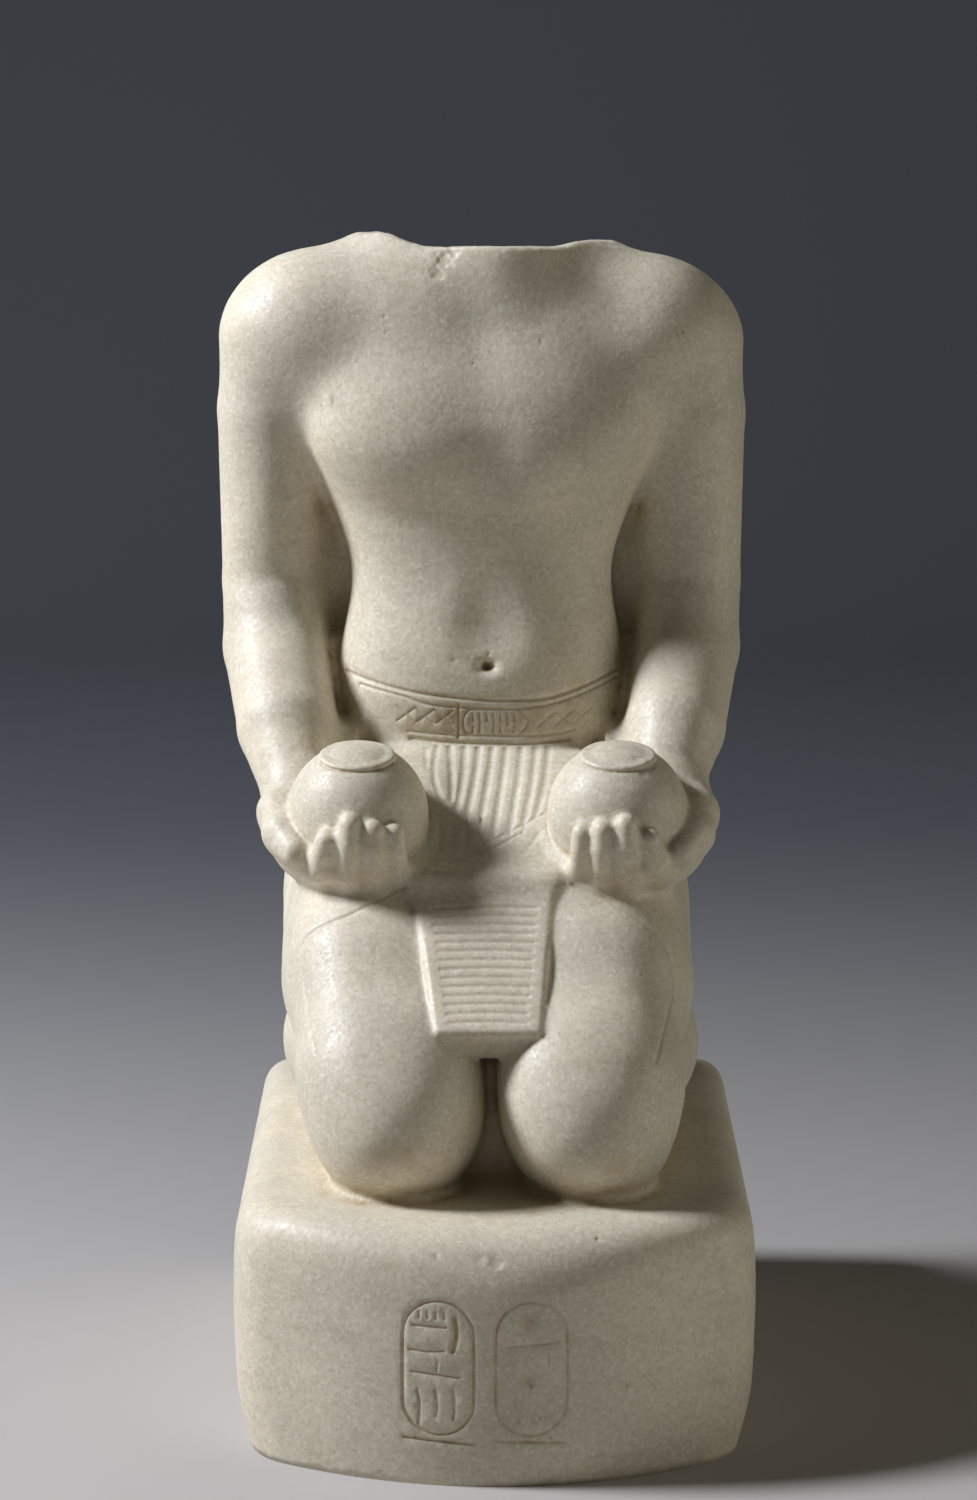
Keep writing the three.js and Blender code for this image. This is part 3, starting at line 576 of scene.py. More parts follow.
def clasp(lines):
    low, high, left, right = 163.9, 170.6, -8.1, 8.5
    middle = (low + high) / 2
    end = [(left + 2, high), (left + 0.5, high - 1), (left, middle), (left + 0.5, low + 1), (left + 2, low)]
    lines.add(end, half=0.55, deep=0.4, dirt=0.9)
    lines.add([(left + 2, high), (right - 2.4, high)], half=0.5, deep=0.35, dirt=0.6)
    lines.add([(left + 2, low), (right - 2.4, low)], half=0.5, deep=0.35, dirt=0.6)
    lines.add([(right - 2.4, high), (right, middle), (right - 2.4, low)], half=0.45, deep=0.3, dirt=0.7)
    lines.add([(left - 1.2, high + 1.2), (left - 1.2, low - 0.5)], half=0.6, deep=0.5, dirt=1.0)
    # A row of short upright strokes with a shorter row below it, worn.
    for i in range(7):
        x = left + 2.4 + i * 1.75
        lines.add([(x, high - 1.1), (x + 0.2, middle + 0.4 - 0.8 * (i % 2))], half=0.45, deep=0.35, dirt=0.8)
        if i % 3 != 2:
            lines.add([(x + 0.1, middle - 1), (x, low + 0.8)], half=0.45, deep=0.3, dirt=0.8)


def rims(lines):
    """The groove round the front of each jar's flat rim, brown where earth has stayed in it."""
    foot = math.sqrt(JAR_RADIUS ** 2 - RIM_RADIUS ** 2)
    for side, deep, dirt in ((-1, 0.22, 0.75), (1, 0.16, 0.5)):
        line = []
        for angle in np.linspace(-1.2, 1.2, 9):
            out = RIM_RADIUS * math.sin(angle)
            up = foot * math.cos(JAR_LEAN) - RIM_RADIUS * math.cos(angle) * math.sin(JAR_LEAN)
            x = side * JAR[0] + HAND_OUT - LEAN + out
            line.append((UPPER_SCALE * x, UPPER_SCALE * (JAR[2] + up) - UPPER_DROP + PLINTH_HEIGHT))
        lines.add(line, half=0.55, deep=deep, dirt=dirt)


def kilt(lines):
    """Pleats over the lap, leaning towards the overlap's edge, and the double line of that edge."""
    lines.add([(-17.5, 161), (-17.1, 157)], half=1.1, deep=0.22, dirt=0.06, fade=0.1)
    lines.add([(-14.6, 161), (-15.3, 157.3), (-14.8, 153.7), (-13, 150.3), (-9.3, 147.1)],
              half=1.1, deep=0.3, dirt=0.08)
    leaning = [(-11.3, -10.7, 150.5), (-7.5, -9.5, 148.5), (-3.9, -7.1, 146.1), (-0.4, -3.9, 144.2),
               (3.1, -0.3, 143), (7, 3.7, 143.6), (10.6, 7.3, 145.3), (13.9, 10.4, 147.1)]
    for top, foot, low in leaning:
        bend = top * 0.6 + foot * 0.4 + 0.3
        lines.add([(top, 161), (bend, 154.8), (foot, low)], half=1.3, deep=0.36, dirt=0.06)
    for x, low in ((-13.7, 139), (-10.5, 139.8), (-7.1, 140.6), (-3.8, 141.3)):
        lines.add([(x, 146.6), (x - 0.1, low)], half=0.9, deep=0.2, dirt=0.08, fade=0.2)
    upper = [(12.4, 147.8), (9.1, 146.3), (5.1, 144.5), (0.1, 142.5), (-5, 140.7)]
    lower = [(7.1, 143.9), (1.1, 141.2), (-4.1, 139.6), (-11.1, 137.8), (-15.5, 136.4)]
    lines.add(upper, half=0.7, deep=0.28, dirt=0.12)
    lines.add(lower, half=0.6, deep=0.22, dirt=0.12)
    lines.add([(12.2, 144.9), (8.1, 140.4)], half=0.8, deep=0.2, dirt=0.1, fade=0.3)


def hems(lines):
    """The kilt's lower edge across each thigh, and its pleats down the thighs' outer sides."""
    right = [(-21.9, 133.1), (-34.4, 127.6), (-43.1, 123.7), (-47.3, 119.6), (-47.5, 115.2), (-46.3, 107.8),
             (-43.4, 97.6)]
    left = [(19.4, 133.4), (30.5, 128.7), (37.8, 123.7), (42, 118.2), (44, 109.4), (41, 101.6), (39, 96.3)]
    for hem in (right, left):
        lines.add(hem, half=0.8, deep=0.3, dirt=0.25)
    for view in (LEFT, RIGHT):
        for i in range(2, 13):
            y = -42 + 7.5 * i
            high = min(134, 111 + 0.9 * (y + 46))
            pleat = [(y + 7, high), (y + 4, 0.5 * high + 48), (y - 1, 97)]
            lines.add(pleat, half=1.2, deep=0.22, dirt=0.05, view=view, fade=0.12)
        level = [(-24, 95.2), (-12, 94.8), (0, 94.5), (30, 95), (60, 98)]
        lines.add(level, half=0.9, deep=0.4, dirt=0.3, view=view)


def apron_lines(lines):
    """Lines across the apron, between its two plain borders."""
    pitch, border = 2.6, 4.2
    length = math.hypot(APRON_FOOT[0] - APRON_TOP[0], APRON_FOOT[1] - APRON_TOP[1])
    for i in range(14):
        t = 0.93 - i * pitch / length
        z = APRON_TOP[1] + (APRON_FOOT[1] - APRON_TOP[1]) * t
        half = APRON_HALF_TOP + (APRON_HALF_FOOT - APRON_HALF_TOP) * t - border
        middle = float(middle_at(z))
        z += PLINTH_HEIGHT
        across = [(middle - half, z), (middle, z + 0.25), (middle + half, z)]
        lines.add(across, half=0.85, deep=0.24, dirt=0.05)


RING_WIDTH = 16.8
RING_HEIGHT = 33.0
RING_FOOT = 13.0
RING_PLACES = (-13.5, 8.6)


def ring(lines, middle, deep):
    radius = RING_WIDTH / 2
    low, high = RING_FOOT + radius, RING_FOOT + RING_HEIGHT - radius
    quarter = math.pi / 2
    hoop = [(middle + radius * math.sin(a), high + radius * math.cos(a))
            for a in np.linspace(-quarter, quarter, 9)]
    hoop += [(middle + radius * math.sin(a), low + radius * math.cos(a))
             for a in np.linspace(quarter, 3 * quarter, 9)]
    lines.add(hoop + hoop[:1], half=0.6, deep=deep, dirt=0.75)
    lines.add([(middle - radius - 0.3, RING_FOOT - 1.2), (middle + radius + 0.4, RING_FOOT - 2.2)], half=0.6,
              deep=deep, dirt=0.9, fade=0.08)


def ring_strokes(lines):
    """Rows of shallow strokes in the rings: short uprights, level bars and bent strokes."""
    x, z = RING_PLACES[0], RING_FOOT
    for i in range(4):
        lines.add([(x - 4.6 + i * 2, z + 30.3), (x - 4.5 + i * 2, z + 28.8)], half=0.45, deep=0.3, dirt=0.5)
    lines.add([(x - 6, z + 26.9), (x + 1.8, z + 26.6)], half=0.6, deep=0.45, dirt=0.6)
    lines.add([(x + 4, z + 29), (x + 4.4, z + 25.2), (x + 3.6, z + 20.8)], half=0.8, deep=0.5, dirt=0.9)
    lines.add([(x - 6.8, z + 20.8), (x - 3, z + 20.5), (x + 1.4, z + 20.8)], half=0.5, deep=0.35, dirt=0.5)
    lines.add([(x - 6.2, z + 15.4), (x + 5.2, z + 14.4)], half=0.5, deep=0.4, dirt=0.6)
    lines.add([(x - 0.2, z + 18), (x - 0.4, z + 15.6)], half=0.45, deep=0.3, dirt=0.4)
    for i, length in enumerate((9, 6.4, 7)):
        bent = [(x - 5 + i * 4.3, z + 11), (x - 4.4 + i * 4.1, z + 7.4), (x - 4.8 + i * 4.2, z + 11 - length)]
        lines.add(bent, half=0.55, deep=0.32, dirt=0.6)
    x = RING_PLACES[1]
    lines.add([(x - 6, z + 22), (x + 6.4, z + 22.8)], half=0.45, deep=0.18, dirt=0.6)
    lines.add([(x + 4, z + 20.6), (x + 4.4, z + 17.4)], half=0.4, deep=0.12, dirt=0.5, fade=0.3)
    bent = [(x - 3.4, z + 10.4), (x - 4, z + 8), (x - 2.8, z + 6)]
    lines.add(bent, half=0.4, deep=0.14, dirt=0.5, fade=0.3)
    for i in range(3):
        lines.add([(x - 3.2 + i * 3.2, z + 4.6), (x - 3.1 + i * 3.2, z + 3.4)], half=0.5, deep=0.18, dirt=0.6)


# Hollows worn or knocked into the stone: x and z seen from the front, radius, depth, how much dirt it holds.
MARKS = [
    (-27.9, 269.7, 1.0, 0.2, 0.0), (-27.2, 265.8, 0.8, 0.12, 0.0), (11.8, 263.5, 1.1, 0.22, 0.0),
    (-5.4, 258.2, 0.5, 0.15, 0.4), (-10.1, 183.1, 1.1, 0.2, 0.35), (-1.5, 184.6, 0.7, 0.2, 0.4),
    (-1.8, 181.2, 2.1, 0.4, 0.8), (-12.7, 283.9, 3.0, 0.45, 0.15), (-14.6, 280.4, 2.2, 0.35, 0.2),
    (-10.4, 285.8, 2.2, 0.4, 0.2), (0.2, 55.3, 2.4, 0.28, 0.15), (-4.2, 56.0, 1.9, 0.2, 0.15),
    (24.5, 59.1, 0.8, 0.3, 0.5), (-14.0, 56.4, 1.2, 0.15, 0.1), (31.2, 23.2, 1.0, 0.15, 0.6),
    (8.4, 41.4, 2.6, 0.2, 0.6), (7.8, 39.6, 1.3, 0.2, 0.7), (8.3, 27.2, 2.0, 0.2, 0.6),
    (8.8, 25.3, 1.1, 0.25, 0.7), (38.6, 162.6, 2.4, 0.35, 0.0), (36.4, 161.2, 1.5, 0.2, 0.05),
    (35.1, 164.4, 1.4, 0.15, 0.05), (-28.3, 164.3, 1.8, 0.08, 0.35), (-26.4, 165.7, 1.4, 0.06, 0.3),
]

# Soft brown patches: middle, half axes and strength. Those on the belt, the clasp, the second ring and the
# left jar's rim are dirt stains. The rest lie where shade falls, on the left jar's lower right, under the
# hands, under and between the knees, on the right side of the right hand and thigh, and on the plinth's top
# beside the right thigh, and there they are painted shade.
STAINS_AND_SHADE = [
    ((-12, 12, 167.6), (18, 12, 6.5), 0.55), ((10, 13, 168.1), (22, 12, 7), 0.45),
    ((0, 11, 167.3), (9, 8, 4), 0.35), ((8.4, -92, 41), (3.2, 6, 4), 0.5),
    ((8.4, -92, 27), (2.6, 6, 4.4), 0.45), ((-25, -72, 76), (13, 14, 9), 0.4),
    ((30, -70, 73), (11, 14, 8), 0.3), ((-27.7, -32.6, 146.6), (11, 10, 9), 0.35),
    ((-35, -33, 136), (13, 9, 8), 0.35), ((29, -32, 135), (14, 9, 9), 0.35),
    ((-28.7, -26.5, 164), (4, 6, 3), 0.6), ((4, -72, 64), (16, 16, 6), 0.35),
    ((52, -34, 134), (8, 14, 14), 0.2), ((52, -5, 66), (14, 50, 8), 0.3),
    ((45.5, -29, 97.3), (6, 16, 12), 0.2),
]


def carved_lines():
    lines = Lines()
    belt(lines)
    clasp(lines)
    rims(lines)
    kilt(lines)
    hems(lines)
    apron_lines(lines)
    for middle, deep in zip(RING_PLACES, (0.42, 0.2)):
        ring(lines, middle, deep)
    ring_strokes(lines)
    return lines.on_stone()


class Carving:
    """What the chisel and time take from the rounded form, looked up by nearness."""

    def __init__(self):
        self.places, self.facts = carved_lines()
        self.lines = KDTree(len(self.places))
        for i, place in enumerate(self.places):
            self.lines.insert(place, i)
        self.lines.balance()
        marks = np.array(MARKS)
        self.marks = np.column_stack([fall(FRONT, marks[:, :2]), marks[:, 2:]])

    def near(self, places, reach):
        """Which places are within reach of a line or mark, quickly and a little generously."""
        spots = np.vstack([self.places, self.marks[:, :3]])
        keys = set()
        for shift in np.array(np.meshgrid((-1, 0, 1), (-1, 0, 1), (-1, 0, 1))).reshape(3, -1).T:
            keys.update(map(tuple, np.floor(spots / reach).astype(int) + shift))
        cells = np.floor(places / reach).astype(int)
        unique, inverse = np.unique(cells, axis=0, return_inverse=True)
        wanted = np.array([tuple(c) in keys for c in unique])
        return wanted[inverse.ravel()]

    def depth_and_dirt(self, places):
        """How far the surface is cut back at each place, and how much dirt the cut holds."""
        depth = np.zeros(len(places))
        dirt = np.zeros(len(places))
        for i in np.flatnonzero(self.near(places, 2.5)):
            _, n, d = self.lines.find(places[i])
            half, deep, held = self.facts[n]
            if d < half * 1.5:
                t = min(d / half, 1.0)
                depth[i] = deep * (1 - t * t) ** 1.5
                dirt[i] = held * max(1 - d / (half * 1.5), 0.0)
        ragged = 0.22 * ripple(places, 2.4, 7)
        for x, y, z, radius, deep, held in self.marks:
            d = np.sqrt(((places - (x, y, z)) ** 2).sum(1)) / radius + ragged
            depth = np.maximum(depth, deep * ease(1, 0.2, d))
            dirt = np.maximum(dirt, held * ease(1.3, 0.3, d))
        return depth, dirt


def ripple(places, length, seed, waves=9):
    """A smooth unevenness between about -1 and 1, with hollows about length apart."""
    random = np.random.default_rng(seed)
    total = np.zeros(len(places))
    for _ in range(waves):
        way = random.normal(size=3)
        way *= 2 * math.pi / (length * random.uniform(0.7, 1.4)) / np.linalg.norm(way)
        total += np.sin(places @ way + random.uniform(0, 2 * math.pi))
    return total / math.sqrt(waves / 2) / 1.6


def weather(places, out):
    """How far time has moved the surface outwards: a faint unevenness, and the rough broken neck."""
    moved = 0.03 * ripple(places, 16, 1) + 0.015 * ripple(places, 6, 2)
    height = places[:, 2] - PLINTH_HEIGHT
    broken = np.abs(neck_break(places[:, 0] - middle_at(height), places[:, 1], height))
    rough = ease(1.6, 0.2, broken) * ease(0.55, 0.85, out[:, 2])
    moved += rough * (0.25 * ripple(places, 9, 3) + 0.09 * ripple(places, 2.8, 4) - 0.18)
    below = ease(3, 1, places[:, 2])
    return moved * (1 - below)


def hollowness(places, out):
    """0 in the open to 1 deep in a fold, from how much room there is outwards."""
    shut = np.zeros(len(places))
    for reach, share in ((2.5, 0.5), (6.0, 0.3), (13.0, 0.2)):
        room = distance_at(places + reach * out)
        shut += share * np.clip(1 - room / reach, 0, 1)
    return shut


# Blender's side of the carving.

def only_select(piece):
    bpy.ops.object.select_all(action="DESELECT")
    piece.select_set(True)
    bpy.context.view_layer.objects.active = piece


def places_of(mesh):
    flat = np.empty(len(mesh.vertices) * 3, np.float32)
    mesh.vertices.foreach_get("co", flat)
    return flat.reshape(-1, 3).astype(float) / MM


def put_places(mesh, places):
    mesh.vertices.foreach_set("co", (places * MM).astype(np.float32).ravel())
    mesh.update()


def apply_modifier(piece, kind, **settings):
    modifier = piece.modifiers.new(kind.title(), kind)
    for name, value in settings.items():
        setattr(modifier, name, value)
    bpy.ops.object.modifier_apply(modifier=modifier.name)


def refine(piece, wanted):
    """Cuts each face that has a wanted corner in four."""
    mesh = piece.data
    corners = np.empty(len(mesh.loops), np.int32)
    mesh.loops.foreach_get("vertex_index", corners)
    starts = np.empty(len(mesh.polygons), np.int32)
    mesh.polygons.foreach_get("loop_start", starts)
    chosen = np.maximum.reduceat(wanted[corners].astype(np.int8), starts).astype(bool)
    mesh.vertices.foreach_set("select", np.zeros(len(mesh.vertices), bool))
    mesh.edges.foreach_set("select", np.zeros(len(mesh.edges), bool))
    mesh.polygons.foreach_set("select", chosen)
    bpy.context.tool_settings.mesh_select_mode = (False, False, True)
    bpy.ops.object.mode_set(mode="EDIT")
    bpy.ops.mesh.subdivide(number_cuts=1)
    bpy.ops.object.mode_set(mode="OBJECT")


def copy_of_solid(name):
    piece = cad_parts[NODE].copy()
    piece.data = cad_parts[NODE].data.copy()
    piece.name = name
    piece.data.name = name
    bpy.context.scene.collection.objects.link(piece)
    piece.parent = None
    piece.data.materials.clear()
    only_select(piece)
    bpy.ops.object.mode_set(mode="EDIT")
    bpy.ops.mesh.select_all(action="SELECT")
    bpy.ops.mesh.remove_doubles(threshold=1e-6)
    bpy.ops.object.mode_set(mode="OBJECT")
    return piece


def add_value(mesh, name, values):
    attribute = mesh.attributes.new(name, "FLOAT", "POINT")
    attribute.data.foreach_set("value", values.astype(np.float32))


def keep_flat_foot(before, after):
    """The underside and its edge stay where the saw left them."""
    low = before[:, 2] < 0.6
    after[low, 2] = np.minimum(before[low, 2], 0.0)
    after[:, 2] = np.maximum(after[:, 2], 0.0)
    return after


# Materials.

# Sizes in the marble, in millimetres.
CLOUD = 29.41
STREAK = 9.09
EARTH_PATCH = 5.263
SPECK_GROUP = 16.67
SPECK_SPACING = 3.333


def add_node(tree, kind, links=(), **settings):
    """Adds a node. links is (socket, source) pairs, and a setting in capitals is one of its own inputs."""
    node = tree.nodes.new(kind)
    for name, value in settings.items():
        if name in node.inputs:
            node.inputs[name].default_value = value
        else:
            setattr(node, name, value)
    for socket, source in links:
        tree.links.new(source, node.inputs[socket])
    return node


def white_marble(settings):
    """White crystalline marble, carved, rubbed smooth and long handled.

    It gives the eye a soft, slightly see-through white with a fine sugary grain, a low polish on what stands
    out, cloudy grey veins, and yellow-brown dirt in what lies deep, partly real dirt and partly painted shade.
    """
    material = bpy.data.materials.new("white_marble")
    material.use_nodes = True
    tree = material.node_tree
    shader = tree.nodes["Principled BSDF"]
    grain = settings.grain
    place = add_node(tree, "ShaderNodeTexCoord").outputs["Object"]

    def noise(size, detail=2.0, roughness=0.5, vector=place):
        return add_node(tree, "ShaderNodeTexNoise", [("Vector", vector)], Scale=1 / size, Detail=detail,
                        Roughness=roughness).outputs["Fac"]

    def spread(value, low, high, to_low=0.0, to_high=1.0):
        node = add_node(tree, "ShaderNodeMapRange", [("Value", value)])
        for socket, number in zip(("From Min", "From Max", "To Min", "To Max"), (low, high, to_low, to_high)):
            node.inputs[socket].default_value = number
        return node.outputs["Result"]

    def sums(operation, a, b):
        node = add_node(tree, "ShaderNodeMath", operation=operation, use_clamp=True)
        for socket, source in ((0, a), (1, b)):
            if isinstance(source, (int, float)):
                node.inputs[socket].default_value = source
            else:
                tree.links.new(source, node.inputs[socket])
        return node.outputs[0]

    def tint(share, under, over):
        node = add_node(tree, "ShaderNodeMix", data_type="RGBA")
        tree.links.new(share, node.inputs["Factor"])
        for socket, source in ((6, under), (7, over)):
            if isinstance(source, tuple):
                node.inputs[socket].default_value = (*source, 1)
            else:
                tree.links.new(source, node.inputs[socket])
        return node.outputs[2]

    # Clouds a few centimetres across, and veins drawn out level.
    stretched = add_node(tree, "ShaderNodeMapping", [("Vector", place)])
    stretched.inputs["Rotation"].default_value = (0.1, 0.25, 0.3)
    stretched.inputs["Scale"].default_value = (0.22, 1.0, 1.3)
    clouds = noise(CLOUD * MM, 4, 0.55)
    streaks = noise(STREAK * MM, 5, 0.62, stretched.outputs["Vector"])
    colour = tint(spread(clouds, 0.38, 0.66), tuple(settings.pale), tuple(settings.cool))
    colour = tint(spread(streaks, 0.54, 0.76, 0, 0.4), colour, tuple(settings.vein))

    # The crystals, each a little lighter or darker than its neighbours. Real ones are about half a millimetre,
    # and these are drawn coarser, so that they show.
    crystal = add_node(tree, "ShaderNodeTexVoronoi", [("Vector", place)], feature="F1", Scale=1 / grain)
    chance = add_node(tree, "ShaderNodeSeparateColor", [("Color", crystal.outputs["Color"])])
    colour = tint(spread(chance.outputs[0], 0.45, 1, 0, 0.3), colour, tuple(settings.vein))
    colour = tint(spread(chance.outputs[1], 0.7, 1, 0, 0.45), colour, tuple(settings.sparkle))
    crystals = noise(grain / 0.4, 3, 0.65)
    colour = tint(spread(crystals, 0.42, 0.72, 0, 0.28), colour, tuple(settings.vein))

    # Earth left in carved lines and marks, and painted shade darkening every hollow and fold, patchy and
    # speckled.
    # The per-point mask of dirt and painted shade, made when the statue is carved.
    held = add_node(tree, "ShaderNodeAttribute", attribute_name="earth_and_shade").outputs["Fac"]
    patchy = spread(noise(EARTH_PATCH * MM, 5, 0.66), 0.34, 0.66, 0.3, 1.25)
    earth_and_shade = sums("MULTIPLY", held, patchy)
    colour = tint(spread(earth_and_shade, 0.05, 0.8, 0, 0.8), colour, tuple(settings.ochre_and_shade))
    colour = tint(spread(earth_and_shade, 0.5, 1.1, 0, 0.85), colour, tuple(settings.earth_and_shade))

    # Dark specks under a millimetre across, few in the open and more where the dirt and painted shade lie.
    cells = add_node(tree, "ShaderNodeTexVoronoi", [("Vector", place)], feature="F1",
                     Scale=1 / (SPECK_SPACING * MM))
    small = spread(cells.outputs["Distance"], 0.13, 0.03)
    picked = spread(noise(SPECK_GROUP * MM, 2), 0.58, 0.7)
    specks = sums("MULTIPLY", small, sums("ADD", sums("MULTIPLY", picked, 0.6), sums("MULTIPLY", held, 0.5)))
    colour = tint(specks, colour, tuple(settings.earth_and_shade))
    tree.links.new(colour, shader.inputs["Base Color"])

    dull = sums("ADD", sums("MULTIPLY", chance.outputs[2], 0.5), sums("MULTIPLY", held, 0.5))
    rough = spread(dull, 0, 0.9, settings.roughness - 0.08, settings.roughness + 0.26)
    tree.links.new(rough, shader.inputs["Roughness"])
    shader.inputs["IOR"].default_value = 1.5
    shader.inputs["Subsurface Weight"].default_value = settings.glow
    shader.inputs["Subsurface Radius"].default_value = (1.0, 0.8, 0.55)
    shader.inputs["Subsurface Scale"].default_value = 0.0035

    # The sugary grain of the worn surface, and the wider marks of the rubbing stone.
    fine = add_node(tree, "ShaderNodeBump", [("Height", crystals)], Strength=0.28, Distance=grain * 0.35)
    rubbing = noise(grain / 0.1, 4, 0.6)
    wide = add_node(tree, "ShaderNodeBump", [("Height", rubbing), ("Normal", fine.outputs["Normal"])],
                    Strength=0.22, Distance=grain * 0.9)
    tree.links.new(wide.outputs["Normal"], shader.inputs["Normal"])
    return material


def studio_paper():
    """Matt background paper, pale where the statue stands and dark where it rises behind.

    The darkening towards the back is painted shade, for the light falling off away from the lamps.
    """
    material = bpy.data.materials.new("studio_paper")
    material.use_nodes = True
    tree = material.node_tree
    shader = tree.nodes["Principled BSDF"]
    place = add_node(tree, "ShaderNodeTexCoord").outputs["Object"]
    # Painted shade: the paper's colour darkens along it, away from the statue.
    apart = add_node(tree, "ShaderNodeSeparateXYZ", [("Vector", place)])
    along = add_node(tree, "ShaderNodeMapRange", [("Value", apart.outputs["Y"])],
                     interpolation_type="SMOOTHSTEP")
    for socket, number in (("From Min", -0.3), ("From Max", 0.8)):
        along.inputs[socket].default_value = number
    shade = add_node(tree, "ShaderNodeMix", [("Factor", along.outputs["Result"])], data_type="RGBA")
    shade.inputs[6].default_value = (*linear("#c2beb8"), 1)
    shade.inputs[7].default_value = (*linear("#626569"), 1)
    tree.links.new(shade.outputs[2], shader.inputs["Base Color"])
    shader.inputs["Roughness"].default_value = 0.9
    shader.inputs["Specular IOR Level"].default_value = 0.1
    return material


# What a user can change.

class CarvingSettings(bpy.types.PropertyGroup):
    voxel: FloatProperty(
        name="Mesh Size", description="Spacing of the mesh before the carved lines are refined",
        default=1.05 * MM, min=0.5 * MM, max=3 * MM, unit="LENGTH", precision=5)
    triangles: IntProperty(
        name="Triangles", description="Most triangles in the finished piece",
        default=196000, min=20000, max=199000)
    line_depth: FloatProperty(
        name="Line Depth", description="Depth of the carved lines, as a share of the drawn depth",
        default=1.0, min=0.0, max=2.0, subtype="FACTOR")
    wear: FloatProperty(
        name="Wear", description="Strength of the surface's unevenness and of the rough broken neck",
        default=1.0, min=0.0, max=2.0, subtype="FACTOR")


class MarbleSettings(bpy.types.PropertyGroup):
    pale: FloatVectorProperty(
        name="Pale Stone", description="The marble's main colour",
        subtype="COLOR", default=linear("#e3d9c1"))
    cool: FloatVectorProperty(
        name="Cool Stone", description="The cooler clouds in the marble",
        subtype="COLOR", default=linear("#d3ccb7"))
    vein: FloatVectorProperty(
        name="Veins", description="The veins and the darker crystals",
        subtype="COLOR", default=linear("#b4a78b"))
    sparkle: FloatVectorProperty(
        name="Bright Crystals", description="The crystals that face the eye",
        subtype="COLOR", default=linear("#f4ecda"))
    # The ochre and dark earth colours are laid as dirt in lines and stains, and as painted shade in hollows
    # and folds.
    ochre_and_shade: FloatVectorProperty(
        name="Ochre", description="Thin earth in shallow hollows",
        subtype="COLOR", default=linear("#ad9566"))
    earth_and_shade: FloatVectorProperty(
        name="Earth", description="Thick earth in deep lines, and specks",
        subtype="COLOR", default=linear("#5a4526"))
    grain: FloatProperty(
        name="Grain", description="Size of the marble's crystals",
        default=0.7 * MM, min=0.2 * MM, max=3 * MM, unit="LENGTH", precision=5)
    roughness: FloatProperty(
        name="Roughness", description="Roughness of the rubbed surface",
        default=0.5, min=0.05, max=1.0, subtype="FACTOR")
    glow: FloatProperty(
        name="Glow", description="How much light passes through the surface",
        default=0.25, min=0.0, max=1.0, subtype="FACTOR")


class StudioSettings(bpy.types.PropertyGroup):
    key: FloatProperty(
        name="Key Light", description="Power of the lamp high on the left",
        default=27.5, min=0.0, unit="POWER")
    side: FloatProperty(
        name="Side Light", description="Power of the wide soft lamp on the right",
        default=2.2, min=0.0, unit="POWER")
    room: FloatProperty(
        name="Room Light", description="Strength of the even light of the room",
        default=0.02, min=0.0)


# Operators.

class STATUE_OT_carve(bpy.types.Operator):
    """Carve the statue with its jars and plinth as one piece"""
    bl_idname = "statue.carve"
    bl_label = "Carve Statue"
    bl_options = {"REGISTER", "UNDO"}

    def execute(self, context):
        settings = context.scene.statue_carving
        piece = copy_of_solid("marble_statue")
        apply_modifier(piece, "REMESH", mode="VOXEL", voxel_size=settings.voxel * 1.0)
        mesh = piece.data
        start = places_of(mesh)
        places, _ = settle(start, 2)
        put_places(mesh, keep_flat_foot(start, places))
        # Evened out, so that the mesh doesn't fold in the creases between the fingers.
        apply_modifier(piece, "SMOOTH", factor=0.5, iterations=4)
        mesh = piece.data
        carving = Carving()
        for reach in (((3.0, 1.5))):
            refine(piece, carving.near(places_of(mesh), reach))
        start = places_of(mesh)
        places, out = settle(start, 2, 0.4)
        places = keep_flat_foot(start, places)
        depth, _ = carving.depth_and_dirt(places)
        moved = settings.wear * weather(places, out) - settings.line_depth * depth
        put_places(mesh, keep_flat_foot(places, places + out * moved[:, None]))
        triangles = sum(len(face.vertices) - 2 for face in mesh.polygons)
        if triangles > settings.triangles:
            apply_modifier(piece, "DECIMATE", ratio=settings.triangles / triangles)
        mesh = piece.data
        places = places_of(mesh)
        out = lie_of(places)[:, :3]
        out /= np.linalg.norm(out, axis=1, keepdims=True)
        _, dirt = carving.depth_and_dirt(places)
        # Painted shade: every hollow and fold is darkened by how shut in it is, as well as the dirt held in
        # the carved lines.
        earth_and_shade = np.maximum(ease(0.3, 0.95, hollowness(places, out)) * 0.6, dirt)
        ragged = 0.2 * ripple(places, 9, 8) + 0.1 * ripple(places, 3.5, 9)
        # Dirt stains and painted shade, from the table of brown patches.
        for middle, radii, strength in STAINS_AND_SHADE:
            d = np.sqrt((((places - middle) / radii) ** 2).sum(1)) + ragged
            earth_and_shade = np.maximum(earth_and_shade, strength * ease(1.0, 0.1, d))
        add_value(mesh, "earth_and_shade", np.clip(earth_and_shade, 0, 1))
        only_select(piece)
        bpy.ops.object.shade_smooth()
        mesh.materials.append(white_marble(context.scene.statue_marble))
        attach(piece, "root")
        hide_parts(NODE)
        return {"FINISHED"}


# The background paper, in metres: where it starts and bends, half its width, the bend's radius, its height.
PAPER_NEAR = -1.6
PAPER_FAR = 1.2
PAPER_HALF = 2.4
PAPER_BEND = 0.6
PAPER_TOP = 2.2

LIT_POINT = (0, 0, 0.14)
CAMERA_PLACE = (-0.0015, -1.092, 0.3566)
CAMERA_TILT = 10.10  # degrees below level
CAMERA_LENS = 105.36
CAMERA_HEIGHT = 36


def look_at(thing, target):
    thing.rotation_euler = (Vector(target) - thing.location).to_track_quat("-Z", "Y").to_euler()


def add_lamp(name, place, target, size, power, colour):
    bpy.ops.object.light_add(type="AREA", location=place)
    lamp = bpy.context.object
    lamp.name = name
    lamp.data.shape = "DISK"
    lamp.data.size = size
    lamp.data.energy = power
    lamp.data.color = linear(colour)
    look_at(lamp, target)
    return lamp


